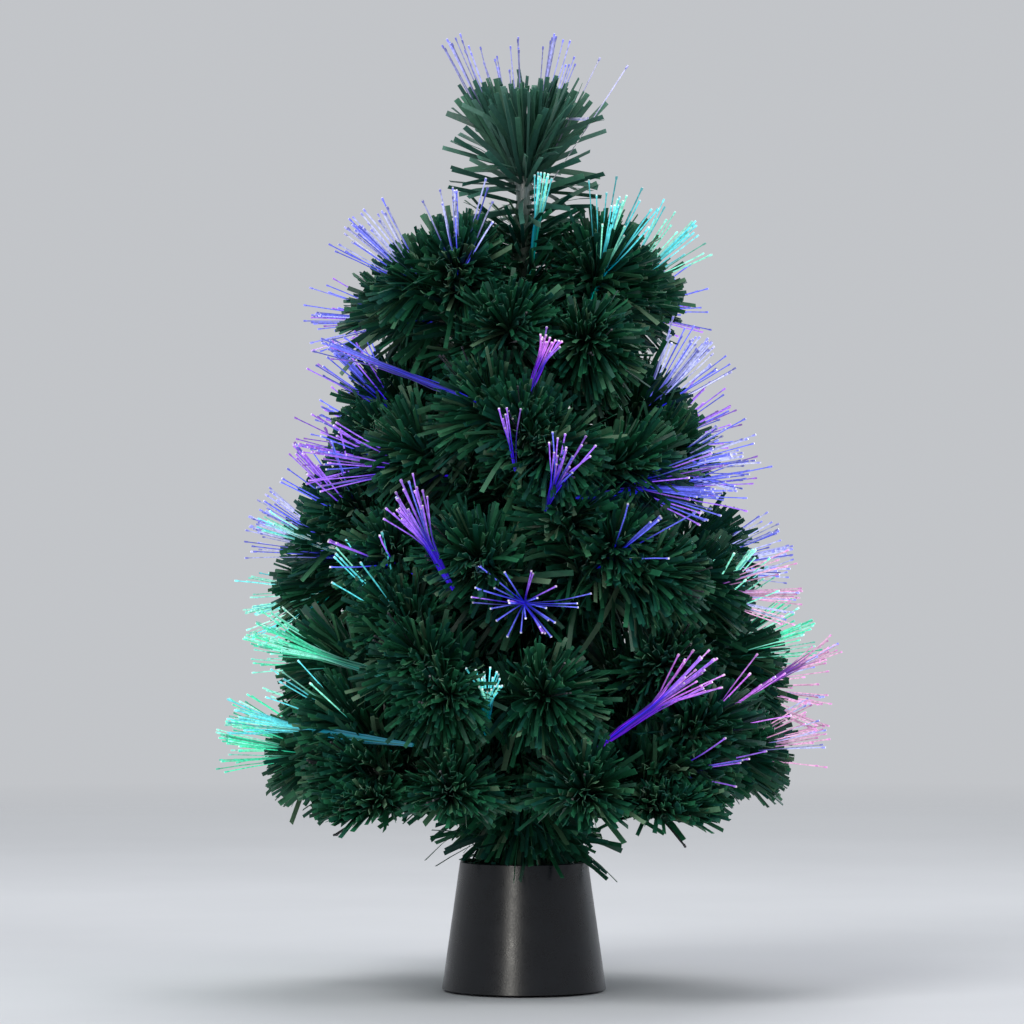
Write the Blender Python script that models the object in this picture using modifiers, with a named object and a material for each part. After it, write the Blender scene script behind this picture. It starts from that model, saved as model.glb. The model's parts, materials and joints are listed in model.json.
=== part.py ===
"""A light-up tabletop tree: a tapered pot with a lamp and a turning colour wheel under the end of
a fibre bundle, a lift-out trunk, and fifteen wire branches with needles and light fibres.

Metres, +Z up. The origin is on the table, under the middle of the pot. The front faces -Y."""

import math

import bmesh
import bpy
import numpy as np
from mathutils import Matrix, Vector

# Gaps between pieces, how far cutters pass a face, and the angle below which edges look round
GAP = 0.0003
BOOLEAN_OVERRUN = 0.001
SMOOTH_BELOW = math.radians(35)

# Rubber feet and base plate
FOOT_RADIUS = 0.005
FOOT_DROP = 0.0015
FOOT_RECESS_DEPTH = 0.0008
FOOT_COUNT = 4
FOOT_CHAMFER = 0.0004
PLATE_THICKNESS = 0.002
PLATE_EDGE_TO_FOOT = 0.0055
VENT_WIDTH = 0.0028
VENT_PITCH = 0.0056
VENT_LENGTH = 0.024
VENT_COUNT = 5

# Screws of the base plate and of the motor
SCREW_COUNT = 3
SCREW_RADIUS = 0.0015
SCREW_LENGTH = 0.010
SCREW_HEAD_RADIUS = 0.0028
SCREW_HEAD_HEIGHT = 0.0013
SCREW_SLOT_WIDTH = 0.0007
SCREW_SLOT_DEPTH = 0.0006
SCREW_BOSS_WALL = 0.0018
SCREW_BOSS_BITE = 0.0006
SCREW_POINT_SHARE = 0.35
SCREW_CROWN_HEIGHT_SHARE = 0.35
SCREW_CROWN_RADIUS_SHARE = 0.8
SCREW_RECESS_SHARE = 1.1
MOTOR_SCREW_LENGTH = 0.0046
MOTOR_SCREW_RADIUS = 0.0011
MOTOR_SCREW_HEAD_RADIUS = 0.0021

# Lamp, its holder and bracket
HOLDER_LENGTH = 0.015
HOLDER_WIDTH = 0.010
HOLDER_HEIGHT = 0.0075
HOLDER_EDGE = 0.0008
LAMP_NECK_RADIUS = 0.0068
LAMP_NECK_HEIGHT = 0.006
LAMP_RADIUS = 0.0175
LAMP_BOWL_HEIGHT = 0.0202
LAMP_GLASS_WALL = 0.0014
LAMP_RIM_HEIGHT = 0.0015
LAMP_BOWL_STEPS = 4
BULB_RADIUS = 0.0038
BULB_HEIGHT = 0.014
BULB_TOP_SHARE = 0.6
BULB_SHOULDER_SHARE = 0.25
BRACKET_STRIP_WIDTH = 0.008
BRACKET_METAL = 0.001
BRACKET_RING_WIDTH = 0.003
BRACKET_RING_DROP = 0.004
BRACKET_FOOT_LENGTH = 0.007

# Colour wheel, hub, shaft and motor
LAMP_TO_WHEEL = 0.0035
WHEEL_THICKNESS = 0.0008
WHEEL_OVERLAP = 0.0005
WHEEL_TO_WALL = 0.0008
WHEEL_TO_BUNDLE = 0.0016
HUB_FLANGE_RADIUS = 0.0045
HUB_FLANGE_HEIGHT = 0.0012
HUB_SPIGOT_RADIUS = 0.0024
HUB_SPIGOT_HEIGHT = 0.0022
SHAFT_RADIUS = 0.001
SHAFT_IN_MOTOR = 0.006
MOTOR_RADIUS = 0.0093
MOTOR_LENGTH = 0.0185
MOTOR_BOSS_RADIUS = 0.0032
MOTOR_BOSS_HEIGHT = 0.0018
MOTOR_EAR_REACH = 0.0063
MOTOR_EAR_WIDTH = 0.0072
MOTOR_EAR_THICKNESS = 0.0012
MOTOR_POST_RADIUS = 0.0028
MOTOR_POST_HEIGHT = 0.003
MOTOR_TO_SOCKET = 0.0007

# Pot
POT_WALL = 0.0018
POT_TAPER = 0.142
POT_DECK_THICKNESS = 0.002
POT_DECK_RECESS = 0.009
POT_RIM_ROUND = 0.0006
POT_FLOOR_LIP = 0.0009

# Socket for the trunk
SOCKET_WALL = 0.0017
SOCKET_FLANGE_RADIUS = 0.0135
SOCKET_FLANGE_THICKNESS = 0.0014
SOCKET_COLLAR_HEIGHT = 0.0026
SOCKET_DEPTH = 0.021

# Power inlet and rocker switch, in the back wall
PANEL_HEIGHT = 0.0235
INLET_AZIMUTH = math.radians(74)
SWITCH_AZIMUTH = math.radians(107)
PAD_PROUD = 0.0007
INLET_PAD_RADIUS = 0.0078
INLET_THREAD_RADIUS = 0.0039
INLET_FLANGE_RADIUS = 0.0056
INLET_FLANGE_THICKNESS = 0.0014
INLET_LENGTH = 0.013
INLET_BORE_RADIUS = 0.0029
INLET_BORE_DEPTH = 0.0095
INLET_PIN_RADIUS = 0.001
INLET_PIN_SHORT = 0.0015
INLET_NUT_RADIUS = 0.0062
INLET_NUT_THICKNESS = 0.0022
SWITCH_BODY_WIDTH = 0.0084
SWITCH_BODY_HEIGHT = 0.0134
SWITCH_BODY_DEPTH = 0.010
SWITCH_FLANGE_LAND = 0.0011
SWITCH_FLANGE_THICKNESS = 0.0013
SWITCH_WALL = 0.0009
SWITCH_WELL_DEPTH = 0.0062
SWITCH_PAD_LAND = 0.0022
ROCKER_GAP = 0.0005
ROCKER_DEPTH = 0.0042
ROCKER_PIVOT_DEPTH = 0.0018
ROCKER_PROUD = 0.0011
ROCKER_DISH_SHARE = 0.35
ROCKER_SHOULDER_SHARE = 0.86
ROCKER_SHOULDER_DEPTH_SHARE = 0.45
ROCKER_KEEL_SHARE = 0.3
ROCKER_TILT = math.radians(9)

# Wires inside the pot
LEAD_RADIUS = 0.0008
LEAD_STRAIGHT = 0.003
LEAD_STEPS_A_SPAN = 4
MOTOR_LEAD_LOW_SHARE = 0.93
MOTOR_LEAD_AZIMUTHS = (35, 12, -10)

# Trunk
BUNDLE_RADIUS = 0.005
BUNDLE_TOP_RADIUS = 0.0018
FERRULE_WALL = 0.0015
TRUNK_LENGTH = 0.410
TRUNK_WRAP_WALL = 0.0032
TRUNK_TOP_WALL = 0.0022
TRUNK_TAPER_START_SHARE = 0.07
TRUNK_SIDES = 16

# Branch wires
WIRE_RADIUS = 0.0015
WIRE_EYE_RADIUS = 0.0026
WIRE_EYE_STAND = 0.0015
WIRE_SIDES = 8
EYE_STEPS = 4
WIRE_TIP_BLEND = 0.004

# Needle sleeves, twigs and strands
SLEEVE_WALL = 0.0018
SLEEVE_START = 0.019
TWIG_RADIUS = 0.0021
NEEDLE_LENGTH = 0.037
NEEDLE_TIP_WIDTH = 0.0085
NEEDLE_TIP_THICKNESS = 0.0010
NEEDLE_ROOT_PITCH = 0.0034
FIBRE_LENGTH = 0.058
FIBRE_TIP_WIDTH = 0.0012
STRAND_STEP = 0.0015
STRAND_GAP = 0.0006
STRAND_SHORTEST = 0.011
HEM_HEIGHT = 0.113

# Each tier: branches in it, azimuth of the first one, root height as a share of the trunk, and
# the wire's slope and length. Azimuths are chosen so that no two branches of the tree share one.
TIER_COUNTS = (4, 3, 3, 3, 2)
TIER_FIRST_AZIMUTHS = (45, 0, 60, 30, 15)
TIER_ROOT_SHARES = (0.117, 0.212, 0.352, 0.516, 0.730)
TIER_SLOPES = (8, 22, 30, 38, 52)
TIER_LENGTHS = (0.130, 0.126, 0.122, 0.106, 0.092)
TIER_SIDE_YAWS = (42, 56, 56, 58, 82)

# Four twigs on each wire: where each starts and how long it is, as shares of the wire, its yaw
# as a share of the tier's, and its pitch.
TWIG_START_SHARES = (0.26, 0.35, 0.56, 0.66)
TWIG_LENGTH_SHARES = (0.80, 0.74, 0.50, 0.44)
TWIG_YAW_SHARES = (1.0, -1.0, 0.46, -0.46)
TWIG_PITCHES = (6, -7, 27, -26)

# Needles near the end of a twig: which ring of roots, which of its four faces, and the angle
# between the needle and the twig.
NEEDLE_RINGS = (0, 0, 1, 1, 2)
NEEDLE_FACES = (0, 2, 1, 3, 0)
NEEDLE_LEANS = (74, 70, 55, 52, 30)
RING_COUNT = 3

# Crown: rings of four needles up the leader, each ring with its height and length as shares,
# and its lean from the vertical.
CROWN_HEIGHT = 0.052
CROWN_RADIUS = 0.0026
CROWN_NEEDLE_LENGTH = 0.044
CROWN_RING_SHARES = (0.04, 0.20, 0.38, 0.60, 0.82)
CROWN_LENGTH_SHARES = (0.86, 0.92, 0.90, 0.95, 1.0)
CROWN_LEANS = (78, 66, 50, 38, 25)
CROWN_TURN = math.radians(31)
CROWN_FIBRE_LENGTH = 0.061

# Sleeve by which the crown sits on the trunk's bare top end. Rings of needles stand up it at
# shares of its length. No needle is on the two sides over which a top branch folds up.
CROWN_SLEEVE_LENGTH = 0.088
CROWN_SLEEVE_WALL = 0.0012
CROWN_SLEEVE_CAP = 0.0012
CROWN_SLEEVE_SIDES = 12
CROWN_SLEEVE_RING_SHARES = (0.08, 0.24, 0.40, 0.56, 0.72, 0.88)
CROWN_SLEEVE_LEANS = (84, 82, 81, 80, 79, 78)
CROWN_SLEEVE_NEEDLE_SIDES = ((1, 3, 5, 7, 9, 11), (2, 4, 8, 10))
CROWN_SLEEVE_NEEDLE_LENGTH = 0.042

# Needles round the foot of the trunk
NECK_BAND_HEIGHT = 0.030
NECK_BAND_START = 0.0045
NECK_BAND_WALL = 0.0016
NECK_SIDES = 16
NECK_LEANS = (86, 64, 42)
NECK_NEEDLE_LENGTH = 0.042

# Sizes that follow from the ones above, from the table upwards
plate_bottom = FOOT_DROP
plate_top = plate_bottom + PLATE_THICKNESS
holder_bottom = plate_top + GAP + BRACKET_METAL + GAP
holder_top = holder_bottom + HOLDER_HEIGHT
lamp_bottom = holder_top + GAP
lamp_top = lamp_bottom + LAMP_NECK_HEIGHT + LAMP_BOWL_HEIGHT + LAMP_RIM_HEIGHT
wheel_bottom = lamp_top + LAMP_TO_WHEEL
wheel_top = wheel_bottom + WHEEL_THICKNESS
bundle_bottom = wheel_top + WHEEL_TO_BUNDLE
motor_bottom = wheel_top + HUB_SPIGOT_HEIGHT + MOTOR_BOSS_HEIGHT + GAP
motor_top = motor_bottom + MOTOR_LENGTH
deck_bottom = motor_top + GAP + MOTOR_POST_HEIGHT
deck_top = deck_bottom + POT_DECK_THICKNESS
rim_height = deck_top + POT_DECK_RECESS
flange_bottom = deck_top + GAP
collar_top = flange_bottom + SOCKET_FLANGE_THICKNESS + SOCKET_COLLAR_HEIGHT
trunk_foot = collar_top + GAP
trunk_top = trunk_foot + TRUNK_LENGTH

# and from the middle outwards
ferrule_bore = BUNDLE_RADIUS + GAP
ferrule_radius = ferrule_bore + FERRULE_WALL
socket_bore = ferrule_radius + GAP
socket_radius = socket_bore + SOCKET_WALL
wheel_offset = socket_radius + MOTOR_TO_SOCKET + MOTOR_RADIUS
wheel_radius = wheel_offset + BUNDLE_RADIUS + WHEEL_OVERLAP
wall_at_wheel = wheel_offset + wheel_radius + WHEEL_TO_WALL + POT_WALL
wrap_radius = ferrule_bore + TRUNK_WRAP_WALL
NEEDLE = (NEEDLE_LENGTH, NEEDLE_TIP_WIDTH, NEEDLE_TIP_THICKNESS)
FIBRE = (FIBRE_LENGTH, FIBRE_TIP_WIDTH, FIBRE_TIP_WIDTH)
bore_radius = WIRE_RADIUS + GAP + GAP
sleeve_radius = bore_radius + SLEEVE_WALL


def pot_radius(height):
    """Outer radius of the tapered pot at a height."""
    return wall_at_wheel + POT_TAPER * (wheel_bottom - height)


plate_radius = pot_radius(plate_top) - POT_WALL - GAP
foot_ring = plate_radius - PLATE_EDGE_TO_FOOT - FOOT_RADIUS
screw_bore = SCREW_RADIUS + GAP
screw_boss_radius = screw_bore + SCREW_BOSS_WALL
screw_ring = plate_radius - SCREW_HEAD_RADIUS - GAP - POT_FLOOR_LIP

parts = bpy.data.collections.new("tabletop_tree")
cutters = bpy.data.collections.new("tabletop_tree_cutters")


def start_scene():
    """Clears the scene and adds the two collections."""
    for old in list(bpy.data.objects):
        bpy.data.objects.remove(old, do_unlink=True)
    for group in (parts, cutters):
        bpy.context.scene.collection.children.link(group)


def material(name, colour, roughness, metallic=0.0):
    """A plain Principled material, made once per name."""
    found = bpy.data.materials.get(name)
    if found:
        return found
    made = bpy.data.materials.new(name)
    made.use_nodes = True
    shader = made.node_tree.nodes["Principled BSDF"]
    shader.inputs["Base Color"].default_value = (*colour, 1.0)
    shader.inputs["Roughness"].default_value = roughness
    shader.inputs["Metallic"].default_value = metallic
    return made


def black_plastic():
    return material("black_plastic", (0.018, 0.018, 0.021), 0.38)


def dark_rubber():
    return material("dark_rubber", (0.03, 0.03, 0.03), 0.8)


def zinc_steel():
    return material("zinc_steel", (0.55, 0.56, 0.58), 0.35, 1.0)


def green_needles():
    return material("green_needles", (0.012, 0.07, 0.028), 0.55)


def green_wire():
    return material("green_wire", (0.02, 0.06, 0.03), 0.5)


def holder(mesh, name, coat, group, at=(0, 0, 0)):
    """Puts a mesh in an object with its material, in a collection."""
    made = bpy.data.objects.new(name, mesh)
    made.location = at
    if coat:
        mesh.materials.append(coat)
    group.objects.link(made)
    if group is cutters:
        made.hide_render = True
        made.display_type = "WIRE"
    return made


def finish_mesh(shape, name):
    """Turns a bmesh into a mesh whose faces point outwards."""
    bmesh.ops.recalc_face_normals(shape, faces=shape.faces)
    mesh = bpy.data.meshes.new(name)
    shape.to_mesh(mesh)
    shape.free()
    return mesh


def turned(name, profile, coat, sides, group=parts, at=(0, 0, 0)):
    """A turned piece. The profile lists (radius, height) down the outer side; it closes on
    itself, or on the axis where both its ends lie there."""
    mesh = bpy.data.meshes.new(name)
    count = len(profile)
    on_axis = profile[0][0] == 0 and profile[-1][0] == 0
    edges = [(i, (i + 1) % count) for i in range(count - on_axis)]
    mesh.from_pydata([(r, 0, z) for r, z in profile], edges, [])
    made = holder(mesh, name, coat, group, at)
    screw = made.modifiers.new("turn", "SCREW")
    screw.axis = "Z"
    screw.steps = sides
    screw.render_steps = sides
    screw.use_merge_vertices = True
    screw.merge_threshold = 0.00001
    screw.use_smooth_shade = True
    return made


def box(name, size, coat, group=parts, at=(0, 0, 0), turn=None, bevel=0.0):
    """A box with its middle at a place, bevelled if asked, turned by a matrix."""
    shape = bmesh.new()
    bmesh.ops.create_cube(shape, size=1.0)
    bmesh.ops.scale(shape, vec=size, verts=shape.verts)
    made = holder(finish_mesh(shape, name), name, coat, group, at)
    if turn is not None:
        made.matrix_world = Matrix.Translation(at) @ turn.to_4x4()
    if bevel:
        edge = made.modifiers.new("edges", "BEVEL")
        edge.width = bevel
        edge.segments = 2
    return made


def rod(name, radius, depth, coat, sides, group=parts, at=(0, 0, 0), turn=None):
    """A cylinder along its own Z with its middle at a place, turned by a matrix."""
    shape = bmesh.new()
    bmesh.ops.create_cone(
        shape, cap_ends=True, segments=sides, radius1=radius, radius2=radius, depth=depth
    )
    made = holder(finish_mesh(shape, name), name, coat, group, at)
    made.data.shade_smooth()
    made.data.set_sharp_from_angle(angle=SMOOTH_BELOW)
    if turn is not None:
        made.matrix_world = Matrix.Translation(at) @ turn.to_4x4()
    return made


def slab(name, outline, thickness, coat, group=parts):
    """A flat piece in its own XY plane, from the points of its outline: a filled 2D curve."""
    curve = bpy.data.curves.new(name, "CURVE")
    curve.dimensions = "2D"
    curve.fill_mode = "BOTH"
    curve.extrude = thickness / 2
    line = curve.splines.new("POLY")
    line.points.add(len(outline) - 1)
    for point, (x, y) in zip(line.points, outline):
        point.co = (x, y, 0, 1)
    line.use_cyclic_u = True
    line.use_smooth = False
    return holder(curve, name, coat, group)


def cut(target, tool, operation="DIFFERENCE"):
    """Adds a Boolean with the exact solver."""
    step = target.modifiers.new(operation.lower() + "_" + tool.name, "BOOLEAN")
    step.operation = operation
    step.object = tool
    step.solver = "EXACT"


def on_ring(radius, angle, height):
    return Vector((radius * math.cos(angle), radius * math.sin(angle), height))


def screw_profile(radius, length, head_radius, head_height):
    """Down the outer side of a pan-head screw that points up, its head's flat face at 0."""
    return [
        (0, length),
        (radius * SCREW_POINT_SHARE, length),
        (radius, length - radius),
        (radius, head_height),
        (head_radius, head_height),
        (head_radius, head_height * SCREW_CROWN_HEIGHT_SHARE),
        (head_radius * SCREW_CROWN_RADIUS_SHARE, 0),
        (0, 0),
    ]


def make_screw(name, at, radius, length, head_radius, head_height):
    """A screw with a cross recess, its head down."""
    made = turned(
        name, screw_profile(radius, length, head_radius, head_height), zinc_steel(), 12, at=at
    )
    reach = head_radius * SCREW_RECESS_SHARE
    slot = (reach, SCREW_SLOT_WIDTH, 2 * SCREW_SLOT_DEPTH)
    for k, turn in enumerate((0, math.pi / 2)):
        across = Matrix.Rotation(turn, 3, "Z")
        cut(made, box(f"{name}_recess_{k}", slot, None, cutters, at, across))
    return made


def make_base_plate():
    """Round plate under the pot, with vents, foot recesses and countersunk screw holes."""
    plate = turned(
        "base_plate",
        [
            (0, plate_top),
            (plate_radius, plate_top),
            (pot_radius(plate_bottom) - POT_WALL - GAP, plate_bottom),
            (0, plate_bottom),
        ],
        black_plastic(),
        48,
    )
    middle = (plate_bottom + plate_top) / 2
    for k in range(VENT_COUNT):
        across = (k - (VENT_COUNT - 1) / 2) * VENT_PITCH
        size = (VENT_LENGTH, VENT_WIDTH, PLATE_THICKNESS + 2 * BOOLEAN_OVERRUN)
        cut(plate, box(f"vent_cutter_{k}", size, None, cutters, at=(0, across, middle)))
    for k, at in enumerate(foot_places()):
        depth = FOOT_RECESS_DEPTH + BOOLEAN_OVERRUN
        place = at + Vector((0, 0, plate_bottom + FOOT_RECESS_DEPTH - depth / 2))
        cut(plate, rod(f"foot_recess_{k}", FOOT_RADIUS + GAP, depth, None, 16, cutters, place))
    for k, at in enumerate(screw_places()):
        through = PLATE_THICKNESS + 2 * BOOLEAN_OVERRUN
        place = at + Vector((0, 0, middle))
        cut(plate, rod(f"plate_hole_{k}", screw_bore, through, None, 12, cutters, place))
        depth = SCREW_HEAD_HEIGHT + BOOLEAN_OVERRUN
        place = at + Vector((0, 0, plate_bottom + SCREW_HEAD_HEIGHT - depth / 2))
        seat = rod(
            f"plate_seat_{k}", SCREW_HEAD_RADIUS + GAP, depth, None, 16, cutters, place
        )
        cut(plate, seat)


def foot_places():
    step = 2 * math.pi / FOOT_COUNT
    return [on_ring(foot_ring, step * (k + 0.5), 0) for k in range(FOOT_COUNT)]


def screw_places():
    step = 2 * math.pi / SCREW_COUNT
    return [on_ring(screw_ring, -math.pi / 2 + step * k, 0) for k in range(SCREW_COUNT)]


def make_feet_and_screws():
    """Four rubber feet in their recesses, and the screws that hold the base plate."""
    top = plate_bottom + FOOT_RECESS_DEPTH - GAP
    for k, at in enumerate(foot_places()):
        turned(
            f"rubber_foot_{k + 1}",
            [
                (0, top),
                (FOOT_RADIUS, top),
                (FOOT_RADIUS, FOOT_CHAMFER),
                (FOOT_RADIUS - FOOT_CHAMFER, 0),
                (0, 0),
            ],
            dark_rubber(),
            16,
            at=at,
        )
    for k, at in enumerate(screw_places()):
        make_screw(
            f"plate_screw_{k + 1}",
            at + Vector((0, 0, plate_bottom - GAP)),
            SCREW_RADIUS,
            SCREW_LENGTH,
            SCREW_HEAD_RADIUS,
            SCREW_HEAD_HEIGHT,
        )


def panel_turn(azimuth):
    """Turns a piece so that its Z is the pot wall's outward normal and its Y runs up the wall."""
    slope = math.atan(POT_TAPER)
    out = Vector(
        (
            math.cos(slope) * math.cos(azimuth),
            math.cos(slope) * math.sin(azimuth),
            math.sin(slope),
        )
    )
    side = Vector((0, 0, 1)).cross(out).normalized()
    return Matrix((side, out.cross(side), out)).transposed()


def panel_place(azimuth, outwards, up=0, sideways=0):
    """A point given by how far it is out of the pot's wall, up and sideways from a pad's middle."""
    foot = on_ring(pot_radius(PANEL_HEIGHT), azimuth, PANEL_HEIGHT)
    return foot + panel_turn(azimuth) @ Vector((sideways, up, outwards))


def make_pot():
    """Tapered shell with a recessed deck, screw bosses, motor posts and two flat wall pads."""
    inner_rim = pot_radius(rim_height) - POT_WALL
    pot = turned(
        "pot_shell",
        [
            (pot_radius(rim_height) - POT_RIM_ROUND, rim_height),
            (pot_radius(rim_height - POT_RIM_ROUND), rim_height - POT_RIM_ROUND),
            (pot_radius(plate_bottom), plate_bottom),
            (pot_radius(plate_bottom) - POT_WALL, plate_bottom),
            (pot_radius(deck_bottom) - POT_WALL, deck_bottom),
            (socket_radius + GAP, deck_bottom),
            (socket_radius + GAP, deck_top),
            (pot_radius(deck_top) - POT_WALL, deck_top),
            (inner_rim, rim_height - POT_RIM_ROUND),
            (inner_rim + POT_RIM_ROUND, rim_height),
        ],
        black_plastic(),
        48,
    )
    boss_bottom = plate_top + GAP
    boss_height = SCREW_LENGTH + SCREW_BOSS_WALL
    for k, at in enumerate(screw_places()):
        top = boss_bottom + boss_height
        boss = rod(
            f"screw_boss_{k}",
            screw_boss_radius,
            boss_height,
            None,
            12,
            cutters,
            at + Vector((0, 0, (boss_bottom + top) / 2)),
        )
        cut(pot, boss, "UNION")
        web_end = pot_radius(top) - POT_WALL + SCREW_BOSS_BITE
        web = on_ring((screw_ring + web_end) / 2, math.atan2(at.y, at.x), (boss_bottom + top) / 2)
        size = (web_end - screw_ring, SCREW_BOSS_WALL, boss_height)
        turn = Matrix.Rotation(math.atan2(at.y, at.x), 3, "Z")
        cut(pot, box(f"screw_web_{k}", size, None, cutters, web, turn), "UNION")
        bore_depth = SCREW_LENGTH + BOOLEAN_OVERRUN
        place = at + Vector((0, 0, boss_bottom - BOOLEAN_OVERRUN + bore_depth / 2))
        cut(pot, rod(f"boss_bore_{k}", screw_bore, bore_depth, None, 12, cutters, place))
    for k, at in enumerate(motor_screw_places()):
        height = MOTOR_POST_HEIGHT + BOOLEAN_OVERRUN
        place = at + Vector((0, 0, deck_bottom - MOTOR_POST_HEIGHT + height / 2))
        cut(pot, rod(f"motor_post_{k}", MOTOR_POST_RADIUS, height, None, 12, cutters, place), "UNION")
        depth = MOTOR_SCREW_LENGTH
        place = at + Vector((0, 0, deck_bottom - MOTOR_POST_HEIGHT - BOOLEAN_OVERRUN + depth / 2))
        bore = MOTOR_SCREW_RADIUS + GAP
        cut(pot, rod(f"post_bore_{k}", bore, depth, None, 10, cutters, place))
    cut_inlet_panel(pot)
    cut_switch_panel(pot)


def cut_inlet_panel(pot):
    """A round flat pad for the inlet, through and through, with its hole."""
    turn = panel_turn(INLET_AZIMUTH)
    sag = pad_sag(INLET_PAD_RADIUS)
    depth = PAD_PROUD + sag + POT_WALL
    place = panel_place(INLET_AZIMUTH, PAD_PROUD - depth / 2)
    cut(pot, rod("inlet_pad", INLET_PAD_RADIUS, depth, None, 20, cutters, place, turn), "UNION")
    through = depth + 2 * BOOLEAN_OVERRUN
    bore = INLET_THREAD_RADIUS + GAP
    cut(pot, rod("inlet_hole", bore, through, None, 20, cutters, place, turn))


def pad_sag(half_width):
    """How far the round wall falls away from a flat pad at its edge."""
    return half_width**2 / (2 * (pot_radius(PANEL_HEIGHT) - POT_WALL))


def cut_switch_panel(pot):
    """A flat pad for the switch with its window."""
    turn = panel_turn(SWITCH_AZIMUTH)
    half = SWITCH_BODY_WIDTH / 2 + SWITCH_PAD_LAND
    depth = PAD_PROUD + pad_sag(half) + POT_WALL
    place = panel_place(SWITCH_AZIMUTH, PAD_PROUD - depth / 2)
    size = (2 * half, SWITCH_BODY_HEIGHT + 2 * SWITCH_PAD_LAND, depth)
    cut(pot, box("switch_pad", size, None, cutters, place, turn), "UNION")
    size = (
        SWITCH_BODY_WIDTH + 2 * GAP,
        SWITCH_BODY_HEIGHT + 2 * GAP,
        depth + 2 * BOOLEAN_OVERRUN,
    )
    cut(pot, box("switch_window", size, None, cutters, place, turn))


def make_inlet():
    """Threaded power inlet with its contact pin, and the nut that holds it inside the wall."""
    turn = panel_turn(INLET_AZIMUTH)
    flange_under = PAD_PROUD + GAP
    face = flange_under + INLET_FLANGE_THICKNESS
    pin_top = -INLET_PIN_SHORT
    profile = [
        (0, pin_top),
        (INLET_PIN_RADIUS, pin_top),
        (INLET_PIN_RADIUS, -INLET_BORE_DEPTH),
        (INLET_BORE_RADIUS, -INLET_BORE_DEPTH),
        (INLET_BORE_RADIUS, 0),
        (INLET_FLANGE_RADIUS, 0),
        (INLET_FLANGE_RADIUS, -INLET_FLANGE_THICKNESS),
        (INLET_THREAD_RADIUS, -INLET_FLANGE_THICKNESS),
        (INLET_THREAD_RADIUS, -INLET_LENGTH),
        (0, -INLET_LENGTH),
    ]
    inlet = turned("power_inlet", profile, black_plastic(), 16)
    inlet.matrix_world = Matrix.Translation(panel_place(INLET_AZIMUTH, face)) @ turn.to_4x4()
    inside = -POT_WALL - pad_sag(INLET_PAD_RADIUS) - GAP
    place = panel_place(INLET_AZIMUTH, inside - INLET_NUT_THICKNESS / 2)
    nut = rod("inlet_nut", INLET_NUT_RADIUS, INLET_NUT_THICKNESS, zinc_steel(), 6, at=place, turn=turn)
    through = INLET_NUT_THICKNESS + 2 * BOOLEAN_OVERRUN
    bore = INLET_THREAD_RADIUS + GAP
    cut(nut, rod("nut_bore", bore, through, None, 20, cutters, place, turn))


def make_switch():
    """Rocker switch: its snap-in frame, and the rocker that tips in the frame's well."""
    turn = panel_turn(SWITCH_AZIMUTH)
    face = PAD_PROUD + GAP + SWITCH_FLANGE_THICKNESS
    depth = SWITCH_BODY_DEPTH
    body_place = panel_place(SWITCH_AZIMUTH, face - depth / 2)
    size = (SWITCH_BODY_WIDTH, SWITCH_BODY_HEIGHT, depth)
    frame = box("switch_frame", size, black_plastic(), at=body_place, turn=turn)
    size = (
        SWITCH_BODY_WIDTH + 2 * SWITCH_FLANGE_LAND,
        SWITCH_BODY_HEIGHT + 2 * SWITCH_FLANGE_LAND,
        SWITCH_FLANGE_THICKNESS,
    )
    place = panel_place(SWITCH_AZIMUTH, face - SWITCH_FLANGE_THICKNESS / 2)
    cut(frame, box("switch_flange", size, None, cutters, place, turn), "UNION")
    well = (
        SWITCH_BODY_WIDTH - 2 * SWITCH_WALL,
        SWITCH_BODY_HEIGHT - 2 * SWITCH_WALL,
        SWITCH_WELL_DEPTH + BOOLEAN_OVERRUN,
    )
    place = panel_place(SWITCH_AZIMUTH, face + (BOOLEAN_OVERRUN - SWITCH_WELL_DEPTH) / 2)
    cut(frame, box("switch_well", well, None, cutters, place, turn))

    half_width = well[0] / 2 - ROCKER_GAP
    half_height = well[1] / 2 - ROCKER_GAP
    dish = ROCKER_PROUD * ROCKER_DISH_SHARE
    shoulder = half_height * ROCKER_SHOULDER_SHARE
    shoulder_depth = ROCKER_DEPTH * ROCKER_SHOULDER_DEPTH_SHARE
    keel = half_height * ROCKER_KEEL_SHARE
    top = ROCKER_PIVOT_DEPTH + ROCKER_PROUD
    waist = ROCKER_PIVOT_DEPTH - shoulder_depth
    bottom = ROCKER_PIVOT_DEPTH - ROCKER_DEPTH
    outline = [
        (-half_height, top),
        (0, top - dish),
        (half_height, top),
        (shoulder, waist),
        (keel, bottom),
        (-keel, bottom),
        (-shoulder, waist),
    ]
    pivot = panel_place(SWITCH_AZIMUTH, face - ROCKER_PIVOT_DEPTH)
    on_edge = Matrix(((0, 0, 1), (1, 0, 0), (0, 1, 0)))
    tipped = turn @ Matrix.Rotation(-ROCKER_TILT, 3, "X") @ on_edge
    rocker = slab("switch_rocker", outline, 2 * half_width, black_plastic())
    rocker.matrix_world = Matrix.Translation(pivot) @ tipped.to_4x4()


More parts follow.
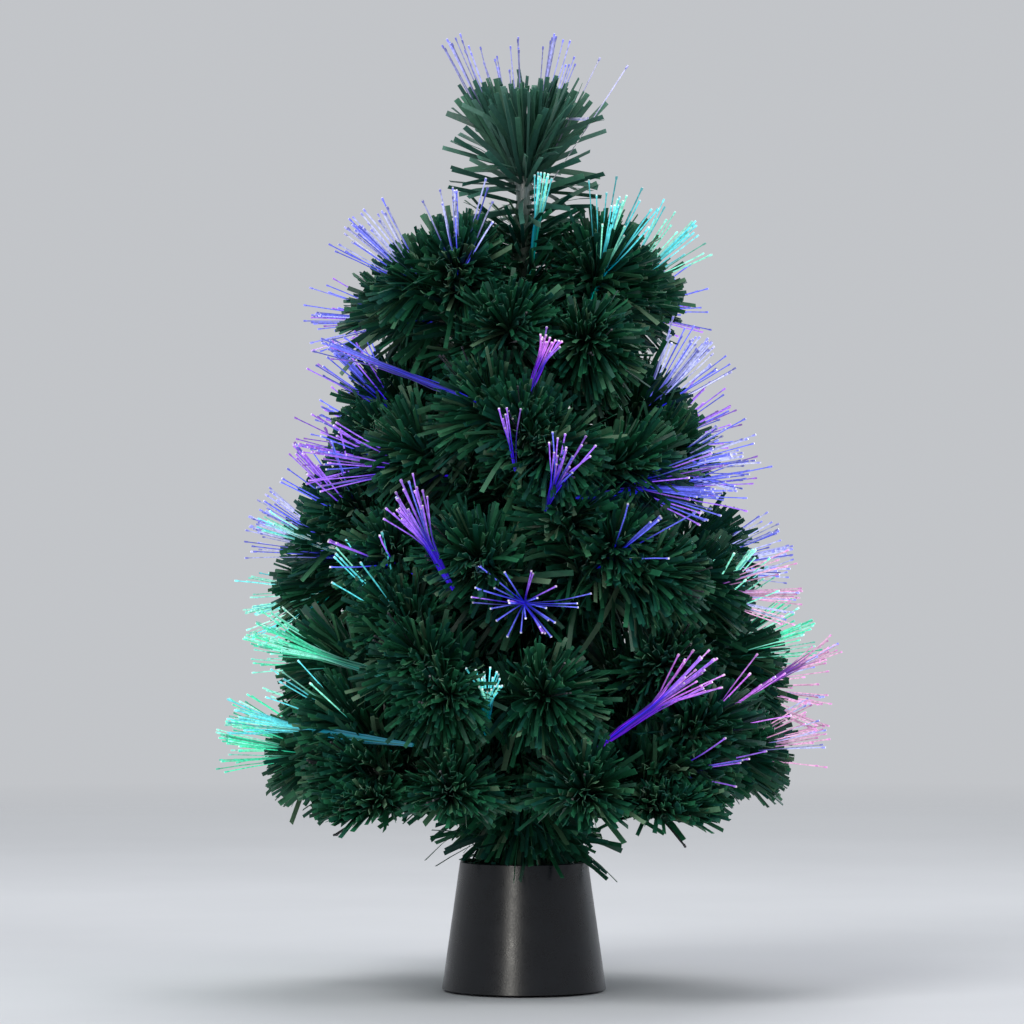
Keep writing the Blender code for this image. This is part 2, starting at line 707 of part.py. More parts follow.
def make_lamp():
    """Reflector lamp with its capsule sealed in, its ceramic holder, and the sheet bracket."""
    neck_top = LAMP_NECK_HEIGHT
    rim_top = neck_top + LAMP_BOWL_HEIGHT + LAMP_RIM_HEIGHT

    def bowl(share, wall):
        """(radius, height) on the bowl: a quarter ellipse from the neck to the rim."""
        angle = share * math.pi / 2
        radius = LAMP_NECK_RADIUS + (LAMP_RADIUS - LAMP_NECK_RADIUS) * math.sin(angle)
        return radius - wall, neck_top + LAMP_BOWL_HEIGHT * (1 - math.cos(angle))

    shares = [(k + 1) / LAMP_BOWL_STEPS for k in range(LAMP_BOWL_STEPS)]
    outer = [bowl(share, 0) for share in reversed(shares)]
    inner = [bowl(share, LAMP_GLASS_WALL) for share in shares]
    bulb_top = neck_top + BULB_HEIGHT
    turned(
        "reflector_lamp",
        [
            (0, bulb_top),
            (BULB_RADIUS * BULB_TOP_SHARE, bulb_top - BULB_RADIUS * BULB_SHOULDER_SHARE),
            (BULB_RADIUS, bulb_top - BULB_RADIUS),
            (BULB_RADIUS, neck_top),
            *inner,
            (LAMP_RADIUS - LAMP_GLASS_WALL, rim_top),
            (LAMP_RADIUS, rim_top),
            *outer,
            (LAMP_NECK_RADIUS, neck_top),
            (LAMP_NECK_RADIUS, 0),
            (0, 0),
        ],
        material("mirror_glass", (0.75, 0.77, 0.8), 0.08, 0.9),
        24,
        at=(0, 0, lamp_bottom),
    )
    box(
        "lamp_holder",
        (HOLDER_LENGTH, HOLDER_WIDTH, HOLDER_HEIGHT),
        material("ceramic", (0.85, 0.83, 0.78), 0.5),
        at=(0, 0, (holder_bottom + holder_top) / 2),
        bevel=HOLDER_EDGE,
    )
    make_bracket()


def make_bracket():
    """Ring under the lamp's rim, two legs down to the base plate, and their turned-out feet."""
    ring_bore = LAMP_RADIUS + GAP
    ring_radius = ring_bore + BRACKET_RING_WIDTH
    ring_top = lamp_top - BRACKET_RING_DROP
    bracket = turned(
        "lamp_bracket",
        [
            (ring_bore, ring_top),
            (ring_radius, ring_top),
            (ring_radius, ring_top - BRACKET_METAL),
            (ring_bore, ring_top - BRACKET_METAL),
        ],
        zinc_steel(),
        24,
    )
    foot_bottom = plate_top + GAP
    leg_middle = ring_radius - BRACKET_METAL / 2
    for k, side in enumerate((1, -1)):
        height = ring_top - foot_bottom
        leg = box(
            f"bracket_leg_{k}",
            (BRACKET_METAL, BRACKET_STRIP_WIDTH, height),
            None,
            cutters,
            (side * leg_middle, 0, foot_bottom + height / 2),
        )
        cut(bracket, leg, "UNION")
        foot = box(
            f"bracket_foot_{k}",
            (BRACKET_FOOT_LENGTH, BRACKET_STRIP_WIDTH, BRACKET_METAL),
            None,
            cutters,
            (
                side * (leg_middle - BRACKET_METAL / 2 + BRACKET_FOOT_LENGTH / 2),
                0,
                foot_bottom + BRACKET_METAL / 2,
            ),
        )
        cut(bracket, foot, "UNION")
    bridge = box(
        "bracket_bridge",
        (2 * leg_middle, BRACKET_STRIP_WIDTH, BRACKET_METAL),
        None,
        cutters,
        (0, 0, foot_bottom + BRACKET_METAL / 2),
    )
    cut(bracket, bridge, "UNION")


def wheel_centre(height):
    """The wheel turns beside the trunk's axis, towards the front of the pot."""
    return Vector((0, -wheel_offset, height))


def make_wheel():
    """Colour wheel under the fibre bundle, and the hub and shaft that turn it, in one piece."""
    turned(
        "colour_wheel",
        [
            (HUB_SPIGOT_RADIUS + GAP, WHEEL_THICKNESS),
            (wheel_radius, WHEEL_THICKNESS),
            (wheel_radius, 0),
            (HUB_SPIGOT_RADIUS + GAP, 0),
        ],
        material("colour_film", (0.35, 0.25, 0.8), 0.2),
        40,
        at=wheel_centre(wheel_bottom),
    )
    flange_top = -GAP
    flange_under = flange_top - HUB_FLANGE_HEIGHT
    spigot_top = WHEEL_THICKNESS + HUB_SPIGOT_HEIGHT - GAP
    shaft_top = motor_bottom - wheel_bottom + SHAFT_IN_MOTOR
    turned(
        "wheel_hub",
        [
            (0, shaft_top),
            (SHAFT_RADIUS, shaft_top),
            (SHAFT_RADIUS, spigot_top),
            (HUB_SPIGOT_RADIUS, spigot_top),
            (HUB_SPIGOT_RADIUS, flange_top),
            (HUB_FLANGE_RADIUS, flange_top),
            (HUB_FLANGE_RADIUS, flange_under),
            (0, flange_under),
        ],
        zinc_steel(),
        16,
        at=wheel_centre(wheel_bottom),
    )


def motor_screw_places():
    reach = MOTOR_RADIUS + MOTOR_EAR_REACH - MOTOR_EAR_WIDTH / 2
    return [wheel_centre(0) + Vector((side * reach, 0, 0)) for side in (1, -1)]


def make_motor():
    """Round gear motor with two ears, hung from posts under the deck by two screws."""
    bore = SHAFT_RADIUS + GAP
    bore_top = SHAFT_IN_MOTOR + GAP
    motor = turned(
        "wheel_motor",
        [
            (0, MOTOR_LENGTH),
            (MOTOR_RADIUS, MOTOR_LENGTH),
            (MOTOR_RADIUS, 0),
            (MOTOR_BOSS_RADIUS, 0),
            (MOTOR_BOSS_RADIUS, -MOTOR_BOSS_HEIGHT),
            (bore, -MOTOR_BOSS_HEIGHT),
            (bore, bore_top),
            (0, bore_top),
        ],
        zinc_steel(),
        24,
        at=wheel_centre(motor_bottom),
    )
    ear_middle = motor_top - MOTOR_EAR_THICKNESS / 2
    span = 2 * (MOTOR_RADIUS + MOTOR_EAR_REACH)
    size = (span, MOTOR_EAR_WIDTH, MOTOR_EAR_THICKNESS)
    cut(motor, box("motor_ears", size, None, cutters, wheel_centre(ear_middle)), "UNION")
    for k, at in enumerate(motor_screw_places()):
        place = at + Vector((0, 0, ear_middle))
        through = MOTOR_EAR_THICKNESS + 2 * BOOLEAN_OVERRUN
        bore = MOTOR_SCREW_RADIUS + GAP
        cut(motor, rod(f"ear_hole_{k}", bore, through, None, 10, cutters, place))
        under = motor_top - MOTOR_EAR_THICKNESS - SCREW_HEAD_HEIGHT - GAP
        make_screw(
            f"motor_screw_{k + 1}",
            at + Vector((0, 0, under)),
            MOTOR_SCREW_RADIUS,
            MOTOR_SCREW_LENGTH,
            MOTOR_SCREW_HEAD_RADIUS,
            SCREW_HEAD_HEIGHT,
        )


def make_socket():
    """Collar and tube that take the trunk's ferrule, with a flange on the deck."""
    flange_top = flange_bottom + SOCKET_FLANGE_THICKNESS
    turned(
        "trunk_socket",
        [
            (socket_bore, collar_top),
            (socket_radius, collar_top),
            (socket_radius, flange_top),
            (SOCKET_FLANGE_RADIUS, flange_top),
            (SOCKET_FLANGE_RADIUS, flange_bottom),
            (socket_radius, flange_bottom),
            (socket_radius, collar_top - SOCKET_DEPTH),
            (socket_bore, collar_top - SOCKET_DEPTH),
        ],
        black_plastic(),
        24,
    )


def lead(name, route, coat):
    """A wire whose two end runs are straight, with a smooth curve through the points between."""
    points = [Vector(p) for p in route]
    smooth = [points[0]]
    for k in range(1, len(points) - 2):
        before, here, there, after = points[k - 1 : k + 3]
        for j in range(LEAD_STEPS_A_SPAN):
            t = j / LEAD_STEPS_A_SPAN
            bend = 2 * before - 5 * here + 4 * there - after
            swing = 3 * here - before - 3 * there + after
            smooth.append(here + (there - before) * t / 2 + bend * t**2 / 2 + swing * t**3 / 2)
    smooth.extend(points[-2:])
    curve = bpy.data.curves.new(name, "CURVE")
    curve.dimensions = "3D"
    curve.bevel_depth = LEAD_RADIUS
    curve.bevel_resolution = 1
    curve.use_fill_caps = True
    spline = curve.splines.new("POLY")
    spline.points.add(len(smooth) - 1)
    for point, place in zip(spline.points, smooth):
        point.co = (*place, 1)
    curve.materials.append(coat)
    parts.objects.link(bpy.data.objects.new(name, curve))


def make_leads():
    """Three wires: inlet to switch, switch to lamp holder, and inlet to motor."""
    wire_coat = material("wire_sheath", (0.04, 0.04, 0.045), 0.5)
    red_coat = material("red_sheath", (0.45, 0.03, 0.03), 0.5)
    face = PAD_PROUD + GAP
    inlet_end = face + INLET_FLANGE_THICKNESS - INLET_LENGTH - GAP
    switch_end = face + SWITCH_FLANGE_THICKNESS - SWITCH_BODY_DEPTH - GAP
    apart = 2 * LEAD_RADIUS
    inlet_free = inlet_end - LEAD_STRAIGHT
    switch_free = switch_end - LEAD_STRAIGHT
    middle = (
        panel_place(INLET_AZIMUTH, inlet_free, -apart)
        + panel_place(SWITCH_AZIMUTH, switch_free, -apart)
    ) / 2
    lead(
        "switch_lead",
        [
            panel_place(INLET_AZIMUTH, inlet_end, -apart, apart),
            panel_place(INLET_AZIMUTH, inlet_free, -apart, apart),
            middle,
            panel_place(SWITCH_AZIMUTH, switch_free, -apart),
            panel_place(SWITCH_AZIMUTH, switch_end, -apart),
        ],
        red_coat,
    )
    holder_end = Vector((0, HOLDER_WIDTH / 2 + GAP, (holder_bottom + holder_top) / 2))
    straight = Vector((0, LEAD_STRAIGHT, 0))
    switch_side = panel_place(SWITCH_AZIMUTH, switch_free, apart)
    lead(
        "lamp_lead",
        [
            panel_place(SWITCH_AZIMUTH, switch_end, apart),
            switch_side,
            (switch_side + holder_end + 2 * straight) / 2,
            holder_end + straight,
            holder_end,
        ],
        wire_coat,
    )
    can_side = wheel_centre(motor_bottom + MOTOR_LENGTH / 2)
    out = Vector((1, 0, 0))
    motor_end = can_side + out * (MOTOR_RADIUS + GAP)
    wall = pot_radius(motor_end.z) - POT_WALL - 3 * LEAD_RADIUS
    low_wall = pot_radius(wheel_bottom) - POT_WALL - 2 * LEAD_RADIUS
    first, second, third = (math.radians(degrees) for degrees in MOTOR_LEAD_AZIMUTHS)
    lead(
        "motor_lead",
        [
            panel_place(INLET_AZIMUTH, inlet_end, apart, -apart),
            panel_place(INLET_AZIMUTH, inlet_free, apart, -apart),
            on_ring(low_wall * MOTOR_LEAD_LOW_SHARE, first, (PANEL_HEIGHT + wheel_bottom) / 2),
            on_ring(low_wall, second, wheel_top),
            on_ring(wall, third, motor_bottom + MOTOR_BOSS_HEIGHT),
            motor_end + out * LEAD_STRAIGHT,
            motor_end,
        ],
        wire_coat,
    )


def wrap_outer(height):
    """Outer radius of the wrapped trunk at a height."""
    return tapered(height, wrap_radius, BUNDLE_TOP_RADIUS + GAP + TRUNK_TOP_WALL)


def tapered(height, low_radius, high_radius):
    """Straight for the trunk's foot, then a plain taper to its top."""
    start = trunk_foot + TRUNK_TAPER_START_SHARE * TRUNK_LENGTH
    share = min(max((height - start) / (trunk_top - start), 0), 1)
    return low_radius + (high_radius - low_radius) * share


def make_trunk():
    """Fibre bundle, the ferrule that plugs into the pot, and the wrapped sleeve above it."""
    start = trunk_foot + TRUNK_TAPER_START_SHARE * TRUNK_LENGTH
    turned(
        "fibre_bundle",
        [
            (0, trunk_top),
            (BUNDLE_TOP_RADIUS, trunk_top),
            (BUNDLE_RADIUS, start),
            (BUNDLE_RADIUS, bundle_bottom),
            (0, bundle_bottom),
        ],
        material("clear_fibre", (0.75, 0.8, 0.85), 0.15),
        TRUNK_SIDES,
    )
    turned(
        "trunk_ferrule",
        [
            (ferrule_bore, trunk_foot - GAP),
            (ferrule_radius, trunk_foot - GAP),
            (ferrule_radius, bundle_bottom),
            (ferrule_bore, bundle_bottom),
        ],
        zinc_steel(),
        24,
    )
    wrap = turned(
        "trunk_wrap",
        [
            (BUNDLE_TOP_RADIUS + GAP, trunk_top),
            (wrap_outer(trunk_top), trunk_top),
            (wrap_radius, start),
            (wrap_radius, trunk_foot),
            (ferrule_bore, trunk_foot),
            (ferrule_bore, start),
        ],
        material("green_tape", (0.03, 0.07, 0.035), 0.6),
        TRUNK_SIDES,
    )
    for k, branch in enumerate(branches()):
        shape = bmesh.new()
        bmesh.ops.create_uvsphere(shape, u_segments=8, v_segments=6, radius=WIRE_EYE_RADIUS + GAP)
        mesh = finish_mesh(shape, f"eye_pocket_{k}")
        cut(wrap, holder(mesh, f"eye_pocket_{k}", None, cutters, branch["root"]))


def branches():
    """One entry for each branch: where its wire's eye sits, its own axes and its wire length."""
    made = []
    rows = zip(
        TIER_COUNTS,
        TIER_FIRST_AZIMUTHS,
        TIER_ROOT_SHARES,
        TIER_SLOPES,
        TIER_LENGTHS,
        TIER_SIDE_YAWS,
    )
    for tier, (count, first, root_share, slope, length, yaw) in enumerate(rows):
        height = trunk_foot + root_share * TRUNK_LENGTH
        for k in range(count):
            azimuth = math.radians(first + 360 * k / count)
            root = on_ring(wrap_outer(height) + WIRE_EYE_STAND, azimuth, height)
            made.append(
                {
                    "name": f"branch_{len(made) + 1}",
                    "tier": tier,
                    "root": root,
                    "turn": branch_turn(azimuth, math.radians(slope)),
                    "length": length,
                    "yaw": math.radians(yaw),
                    "mirror": 1 if k % 2 else -1,
                }
            )
    return made


def branch_turn(azimuth, slope):
    """The branch's own axes as columns: X sideways, Y down from the wire, Z along the wire."""
    out = Vector((math.cos(azimuth), math.sin(azimuth), 0))
    along = out * math.cos(slope) + Vector((0, 0, math.sin(slope)))
    side = along.cross(Vector((0, 0, 1))).normalized()
    return Matrix((side, side.cross(along) * -1, along)).transposed()


def twigs(branch):
    """The branch's side twigs and its own tip: (start, unit direction, length) in the world."""
    length = branch["length"]
    found = []
    for start_share, length_share, yaw_share, pitch in zip(
        TWIG_START_SHARES, TWIG_LENGTH_SHARES, TWIG_YAW_SHARES, TWIG_PITCHES
    ):
        yaw = branch["yaw"] * yaw_share
        tilt = math.radians(pitch) * branch["mirror"]
        way = Vector(
            (
                math.sin(yaw) * math.cos(tilt),
                math.sin(tilt),
                math.cos(yaw) * math.cos(tilt),
            )
        )
        start = branch["root"] + branch["turn"] @ Vector((0, 0, start_share * length))
        found.append((start, (branch["turn"] @ way).normalized(), length_share * length))
    return found


def main_axis(branch):
    return branch["root"], branch["turn"] @ Vector((0, 0, 1)), branch["length"]


def all_lines():
    """Every wire, twig and the trunk as straight lines: an array of starts and one of ends."""
    starts, ends = [], []
    for branch in branches():
        for start, way, length in [main_axis(branch), *twigs(branch)]:
            starts.append(start)
            ends.append(start + way * length)
    starts.append(Vector((0, 0, rim_height)))
    ends.append(Vector((0, 0, trunk_top + CROWN_HEIGHT)))
    return np.array(starts), np.array(ends)


def clear_length(own, start, way, length, half_width, lines, lowest):
    """How long a strand may be before it comes nearer to another line than to its own, or too
    low. Each point of it keeps to its own line's side of the middle between the two."""
    starts, ends = lines
    along = np.arange(STRAND_STEP, length + STRAND_STEP / 2, STRAND_STEP)
    points = np.array(start) + along[:, None] * np.array(way)
    span = ends - starts
    offset = points[:, None, :] - starts[None]
    share = np.clip((offset * span).sum(2) / (span * span).sum(1), 0, 1)
    distance = np.linalg.norm(offset - share[..., None] * span, axis=2)
    own_distance = distance[:, own].copy()
    distance[:, own] = np.inf
    room = distance.min(1) - own_distance - 2 * (half_width + STRAND_GAP)
    spoiled = np.flatnonzero((room < 0) | (points[:, 2] < lowest))
    return along[spoiled[0]] - STRAND_STEP if len(spoiled) else length


def leaning(face, lean):
    """The direction at an angle to a rod's own Z, over to the side that a face looks to."""
    tilt = math.radians(lean)
    out = Vector((face.normal.x, face.normal.y, 0)).normalized()
    return out * math.sin(tilt) + Vector((0, 0, math.cos(tilt)))


def grow_strand(shape, face, lean, where, size, lowest=HEM_HEIGHT):
    """Pulls one face of a rod out into a strand that ends as a flat strip across the rod, as
    far as its neighbours leave room for."""
    own, start, turn, lines = where
    full, width, thickness = size
    way = leaning(face, lean)
    middle = face.calc_center_median()
    root = start + turn @ middle
    length = clear_length(own, root, turn @ way, full, width / 2, lines, lowest)
    if length < STRAND_SHORTEST:
        return
    grown = bmesh.ops.extrude_discrete_faces(shape, faces=[face])["faces"][0]
    across = Vector((-way.y, way.x, 0))
    across = across.normalized() if across.length > STRAND_STEP else Vector((1, 0, 0))
    thin = way.cross(across)
    half_width = width / 2 * math.sqrt(length / full)
    far = middle + way * length
    for vert in grown.verts:
        offset = vert.co - middle
        sideways = math.copysign(half_width, offset.dot(across))
        upwards = math.copysign(thickness / 2, offset.dot(thin))
        vert.co = far + across * sideways + thin * upwards


def ringed_rod(radius, length, sides, levels, capped=True):
    """A rod up its own Z from the origin, with its sides cut into rings at some levels."""
    shape = bmesh.new()
    bmesh.ops.create_cone(
        shape, cap_ends=capped, segments=sides, radius1=radius, radius2=radius, depth=length
    )
    bmesh.ops.translate(shape, vec=(0, 0, length / 2), verts=shape.verts)
    for level in levels:
        bmesh.ops.bisect_plane(
            shape,
            geom=shape.verts[:] + shape.edges[:] + shape.faces[:],
            plane_co=(0, 0, level),
            plane_no=(0, 0, 1),
        )
    bmesh.ops.recalc_face_normals(shape, faces=shape.faces)
    return shape


def top_face(shape):
    """The end face of an upright rod."""
    return max(shape.faces, key=lambda f: f.calc_center_median().z)


def side_face(shape, side, height, sides=4):
    """One of the side faces of a rod, counted from its own X, at a height on it."""
    angle = 2 * math.pi / sides * (side + 0.5)
    out = Vector((math.cos(angle), math.sin(angle), 0))
    level = [
        f
        for f in shape.faces
        if abs(f.calc_center_median().z - height) < NEEDLE_ROOT_PITCH / 4
    ]
    return max(level, key=lambda f: f.normal.dot(out))


def twig_shape(where, length, radius):
    """A square rod with needles near its end and one light fibre on its tip."""
    levels = [length - (k + 1) * NEEDLE_ROOT_PITCH for k in range(RING_COUNT)]
    shape = ringed_rod(radius, length, 4, levels)
    tip = top_face(shape)
    for ring, side, lean in zip(NEEDLE_RINGS, NEEDLE_FACES, NEEDLE_LEANS):
        height = levels[-1] + (ring + 0.5) * NEEDLE_ROOT_PITCH
        face = side_face(shape, side, height)
        grow_strand(shape, face, lean, where, NEEDLE)
    grow_strand(shape, tip, 0, where, FIBRE)
    return shape


def frame_along(way):
    """Turns a twig's Z to a direction, with its Y as near upwards as it can be."""
    side = Vector((0, 0, 1)).cross(way).normalized()
    return Matrix((side, way.cross(side), way)).transposed()


def wire_profile(length):
    """Down the outer side of a wire that ends in a ball-shaped eye about its own origin."""
    angles = np.linspace(math.asin(WIRE_RADIUS / WIRE_EYE_RADIUS), math.pi, EYE_STEPS + 1)
    eye = [(WIRE_EYE_RADIUS * math.sin(a), WIRE_EYE_RADIUS * math.cos(a)) for a in angles[:-1]]
    return [(0, length), (WIRE_RADIUS, length), *eye, (0, -WIRE_EYE_RADIUS)]


def make_branches(lines):
    """Each branch: its wire, and the sleeve of needles and fibres that the wire carries."""
    lines_a_branch = 1 + len(TWIG_START_SHARES)
    for number, branch in enumerate(branches()):
        first = number * lines_a_branch
        turn = branch["turn"]
        length = branch["length"]
        wire_end = length - WIRE_TIP_BLEND
        wire = turned(branch["name"] + "_wire", wire_profile(wire_end), green_wire(), WIRE_SIDES)
        wire.matrix_world = Matrix.Translation(branch["root"]) @ turn.to_4x4()

        start = branch["root"] + turn @ Vector((0, 0, SLEEVE_START))
        shape = twig_shape((first, start, turn, lines), length - SLEEVE_START, sleeve_radius)
        name = branch["name"] + "_foliage"
        foliage = holder(finish_mesh(shape, name), name, green_needles(), parts)
        foliage.matrix_world = Matrix.Translation(start) @ turn.to_4x4()
        side_twigs = join_twigs(branch, first + 1, lines)
        cut(foliage, holder(side_twigs, name + "_twigs", None, cutters), "UNION")
        bore_length = wire_end + GAP
        place = branch["root"] + turn @ Vector((0, 0, bore_length / 2))
        bore = rod(name + "_bore", bore_radius, bore_length, None, WIRE_SIDES, cutters, place, turn)
        cut(foliage, bore)


def join_twigs(branch, first, lines):
    """The side twigs of a branch as one mesh of four bodies."""
    joined = bmesh.new()
    for k, (start, way, length) in enumerate(twigs(branch)):
        turn = frame_along(way)
        shape = twig_shape((first + k, start, turn, lines), length, TWIG_RADIUS)
        shape.transform(Matrix.Translation(start) @ turn.to_4x4())
        twig = finish_mesh(shape, "twig")
        joined.from_mesh(twig)
        bpy.data.meshes.remove(twig)
    return finish_mesh(joined, branch["name"] + "_twigs")


def make_crown(lines):
    """Upright tip of the tree: rings of four needles up a leader, and the top fibre."""
    half = NEEDLE_ROOT_PITCH / 2
    heights = [half + share * (CROWN_HEIGHT - 4 * half) for share in CROWN_RING_SHARES]
    levels = [height + side * half for height in heights for side in (-1, 1)]
    shape = ringed_rod(CROWN_RADIUS, CROWN_HEIGHT, 4, levels)
    tip = top_face(shape)
    foot = Vector((0, 0, trunk_top + GAP))
    turn = Matrix.Rotation(CROWN_TURN, 3, "Z")
    where = (len(lines[0]) - 1, foot, turn, lines)
    for height, share, lean in zip(heights, CROWN_LENGTH_SHARES, CROWN_LEANS):
        size = (CROWN_NEEDLE_LENGTH * share, NEEDLE_TIP_WIDTH, NEEDLE_TIP_THICKNESS)
        for side in range(4):
            grow_strand(shape, side_face(shape, side, height), lean, where, size)
    grow_strand(shape, tip, 0, where, (CROWN_FIBRE_LENGTH, FIBRE_TIP_WIDTH, FIBRE_TIP_WIDTH))
    crown = holder(finish_mesh(shape, "crown_sprig"), "crown_sprig", green_needles(), parts)
    crown.matrix_world = Matrix.Translation(foot) @ turn.to_4x4()
    add_crown_sleeve(crown, foot, lines)


def add_crown_sleeve(crown, foot, lines):
    """Joins the sleeve and its rings of needles to the crown, and bores it for the trunk."""
    start = foot - Vector((0, 0, CROWN_SLEEVE_LENGTH))
    sides = CROWN_SLEEVE_SIDES
    bore = (wrap_outer(start.z) + GAP) / math.cos(math.pi / sides)
    heights = [share * CROWN_SLEEVE_LENGTH for share in CROWN_SLEEVE_RING_SHARES]
    half = NEEDLE_ROOT_PITCH / 2
    levels = [height + side * half for height in heights for side in (-1, 1)]
    length = CROWN_SLEEVE_LENGTH + CROWN_SLEEVE_CAP
    shape = ringed_rod(bore + CROWN_SLEEVE_WALL, length, sides, levels)
    where = (len(lines[0]) - 1, start, Matrix.Identity(3), lines)
    size = (CROWN_SLEEVE_NEEDLE_LENGTH, NEEDLE_TIP_WIDTH, NEEDLE_TIP_THICKNESS)
    for row, (height, lean) in enumerate(zip(heights, CROWN_SLEEVE_LEANS)):
        for side in CROWN_SLEEVE_NEEDLE_SIDES[row % 2]:
            grow_strand(shape, side_face(shape, side, height, sides), lean, where, size)
    sleeve = finish_mesh(shape, "crown_sleeve")
    cut(crown, holder(sleeve, "crown_sleeve", None, cutters, start), "UNION")
    depth = CROWN_SLEEVE_LENGTH + BOOLEAN_OVERRUN
    middle = foot - Vector((0, 0, depth / 2))
    cut(crown, rod("crown_bore", bore, depth, None, sides, cutters, middle))


def make_neck(lines):
    """Band of needles round the foot of the trunk, just over the pot."""
    bore = wrap_radius + GAP
    rows = 2 * len(NECK_LEANS) + 1
    pitch = NECK_BAND_HEIGHT / rows
    levels = [k * pitch for k in range(1, rows)]
    shape = ringed_rod(bore + NECK_BAND_WALL, NECK_BAND_HEIGHT, NECK_SIDES, levels, False)
    foot = Vector((0, 0, trunk_foot + NECK_BAND_START))
    where = (len(lines[0]) - 1, foot, Matrix.Identity(3), lines)
    size = (NECK_NEEDLE_LENGTH, NEEDLE_TIP_WIDTH, NEEDLE_TIP_THICKNESS)
    for face in list(shape.faces):
        middle = face.calc_center_median()
        row = int(middle.z / pitch)
        side = int(math.atan2(middle.y, middle.x) / (2 * math.pi / NECK_SIDES) + NECK_SIDES)
        if row % 2 and (side + row // 2) % 2:
            grow_strand(shape, face, NECK_LEANS[row // 2], where, size, rim_height)
    close_band(shape, bore)
    holder(finish_mesh(shape, "neck_needles"), "neck_needles", green_needles(), parts, foot)


def close_band(shape, bore):
    """Turns the open outer wall of a band into a closed ring round a bore."""
    edges = [e for e in shape.edges if e.is_boundary]
    grown = bmesh.ops.extrude_edge_only(shape, edges=edges)["geom"]
    corner_radius = bore / math.cos(math.pi / NECK_SIDES)
    for vert in (v for v in grown if isinstance(v, bmesh.types.BMVert)):
        inwards = vert.co.xy.normalized() * corner_radius
        vert.co = (inwards.x, inwards.y, vert.co.z)
    bmesh.ops.bridge_loops(shape, edges=[e for e in shape.edges if e.is_boundary])


def main():
    start_scene()
    make_base_plate()
    make_feet_and_screws()
    make_pot()
    make_inlet()
    make_switch()
    make_lamp()
    make_wheel()
    make_motor()
    make_socket()
    make_leads()
    make_trunk()
    lines = all_lines()
    make_branches(lines)
    make_crown(lines)
    make_neck(lines)


main()
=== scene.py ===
# %% [markdown]
# # A light-up tabletop tree
# The real tree is sixty centimetres tall. Its trunk is a bundle of plastic light fibres,
# its branches are wires bound with flat green strips and fibres, and it stands in a black
# pot that hides a lamp under a turning colour wheel. This lesson starts from the packed
# engineering model, whose parts already have their true places and sizes, and gives it
# what an eye expects: forty thousand needles, lit fibres and a finish for every part.

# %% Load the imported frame
import json
import math

import bmesh
import bpy
import numpy as np
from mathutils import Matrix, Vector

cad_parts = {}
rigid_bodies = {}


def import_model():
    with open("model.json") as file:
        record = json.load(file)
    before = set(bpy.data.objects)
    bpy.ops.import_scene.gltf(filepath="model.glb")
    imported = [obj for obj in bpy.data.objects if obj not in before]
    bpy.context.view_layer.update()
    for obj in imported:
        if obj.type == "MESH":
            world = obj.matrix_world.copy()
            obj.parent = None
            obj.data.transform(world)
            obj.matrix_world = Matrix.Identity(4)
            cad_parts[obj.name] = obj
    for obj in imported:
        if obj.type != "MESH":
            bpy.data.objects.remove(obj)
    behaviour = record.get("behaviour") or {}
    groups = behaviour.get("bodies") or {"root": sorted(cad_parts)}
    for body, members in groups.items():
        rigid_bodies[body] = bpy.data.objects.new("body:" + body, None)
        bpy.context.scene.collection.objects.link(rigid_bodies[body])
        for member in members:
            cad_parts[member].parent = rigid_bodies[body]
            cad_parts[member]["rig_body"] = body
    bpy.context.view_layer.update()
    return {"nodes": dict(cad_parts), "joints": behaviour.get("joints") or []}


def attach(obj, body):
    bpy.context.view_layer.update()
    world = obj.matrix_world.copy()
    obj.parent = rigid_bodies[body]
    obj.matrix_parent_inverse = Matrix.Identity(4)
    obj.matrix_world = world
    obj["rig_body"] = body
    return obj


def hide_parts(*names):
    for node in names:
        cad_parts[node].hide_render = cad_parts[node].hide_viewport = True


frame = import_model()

nodes = frame["nodes"]

# %% [markdown]
# ## Camera, floor and light
# The photograph was taken level, with a long lens, from about three metres away. The
# floor is one pale disc that fades out before its edge, so no horizon line crosses the
# picture, and the pale backdrop is the world's own colour. A second, dimmer world colour
# lights the tree. Three large soft lamps do most of the rest. A narrow upright strip and
# an edge light behind draw the two vertical highlights that a satin pot shows. These
# two are seen in shiny surfaces only, so they don't flatten the shadows in the needles.

# %% Camera
TRUNK_IN_PICTURE = -0.0076
EYE_HEIGHT = 0.302
EYE_DISTANCE = 3.32
LENS = 185
SENSOR = 36
scene = bpy.context.scene
camera = bpy.data.objects.new("camera", bpy.data.cameras.new("camera"))
scene.collection.objects.link(camera)
camera.data.lens = LENS
camera.data.sensor_width = SENSOR
camera.location = (TRUNK_IN_PICTURE, -EYE_DISTANCE, EYE_HEIGHT)
camera.rotation_euler = (math.pi / 2, 0, 0)
scene.camera = camera
scene.view_settings.view_transform = "Standard"
print("picture width at the trunk:", round(EYE_DISTANCE * SENSOR / LENS, 3), "m")

# %% [markdown]
# ## A short way to write node trees
# A material is a small tree of nodes. `add` makes one node, sets its options, and fills
# its sockets: a plain value goes into the socket, and another node's output is linked to
# it. `ramp` turns a number into a colour through a list of stops, `mix` mixes or multiplies
# two colours, and `calc` is one step of arithmetic.


# %% Node helpers
def add(tree, kind, inputs=(), **options):
    """One shader node. Values go into its sockets, and outputs are linked to them."""
    made = tree.nodes.new("ShaderNode" + kind)
    for key, value in options.items():
        setattr(made, key, value)
    for key, value in dict(inputs).items():
        if isinstance(value, bpy.types.NodeSocket):
            tree.links.new(value, made.inputs[key])
        else:
            made.inputs[key].default_value = value
    return made


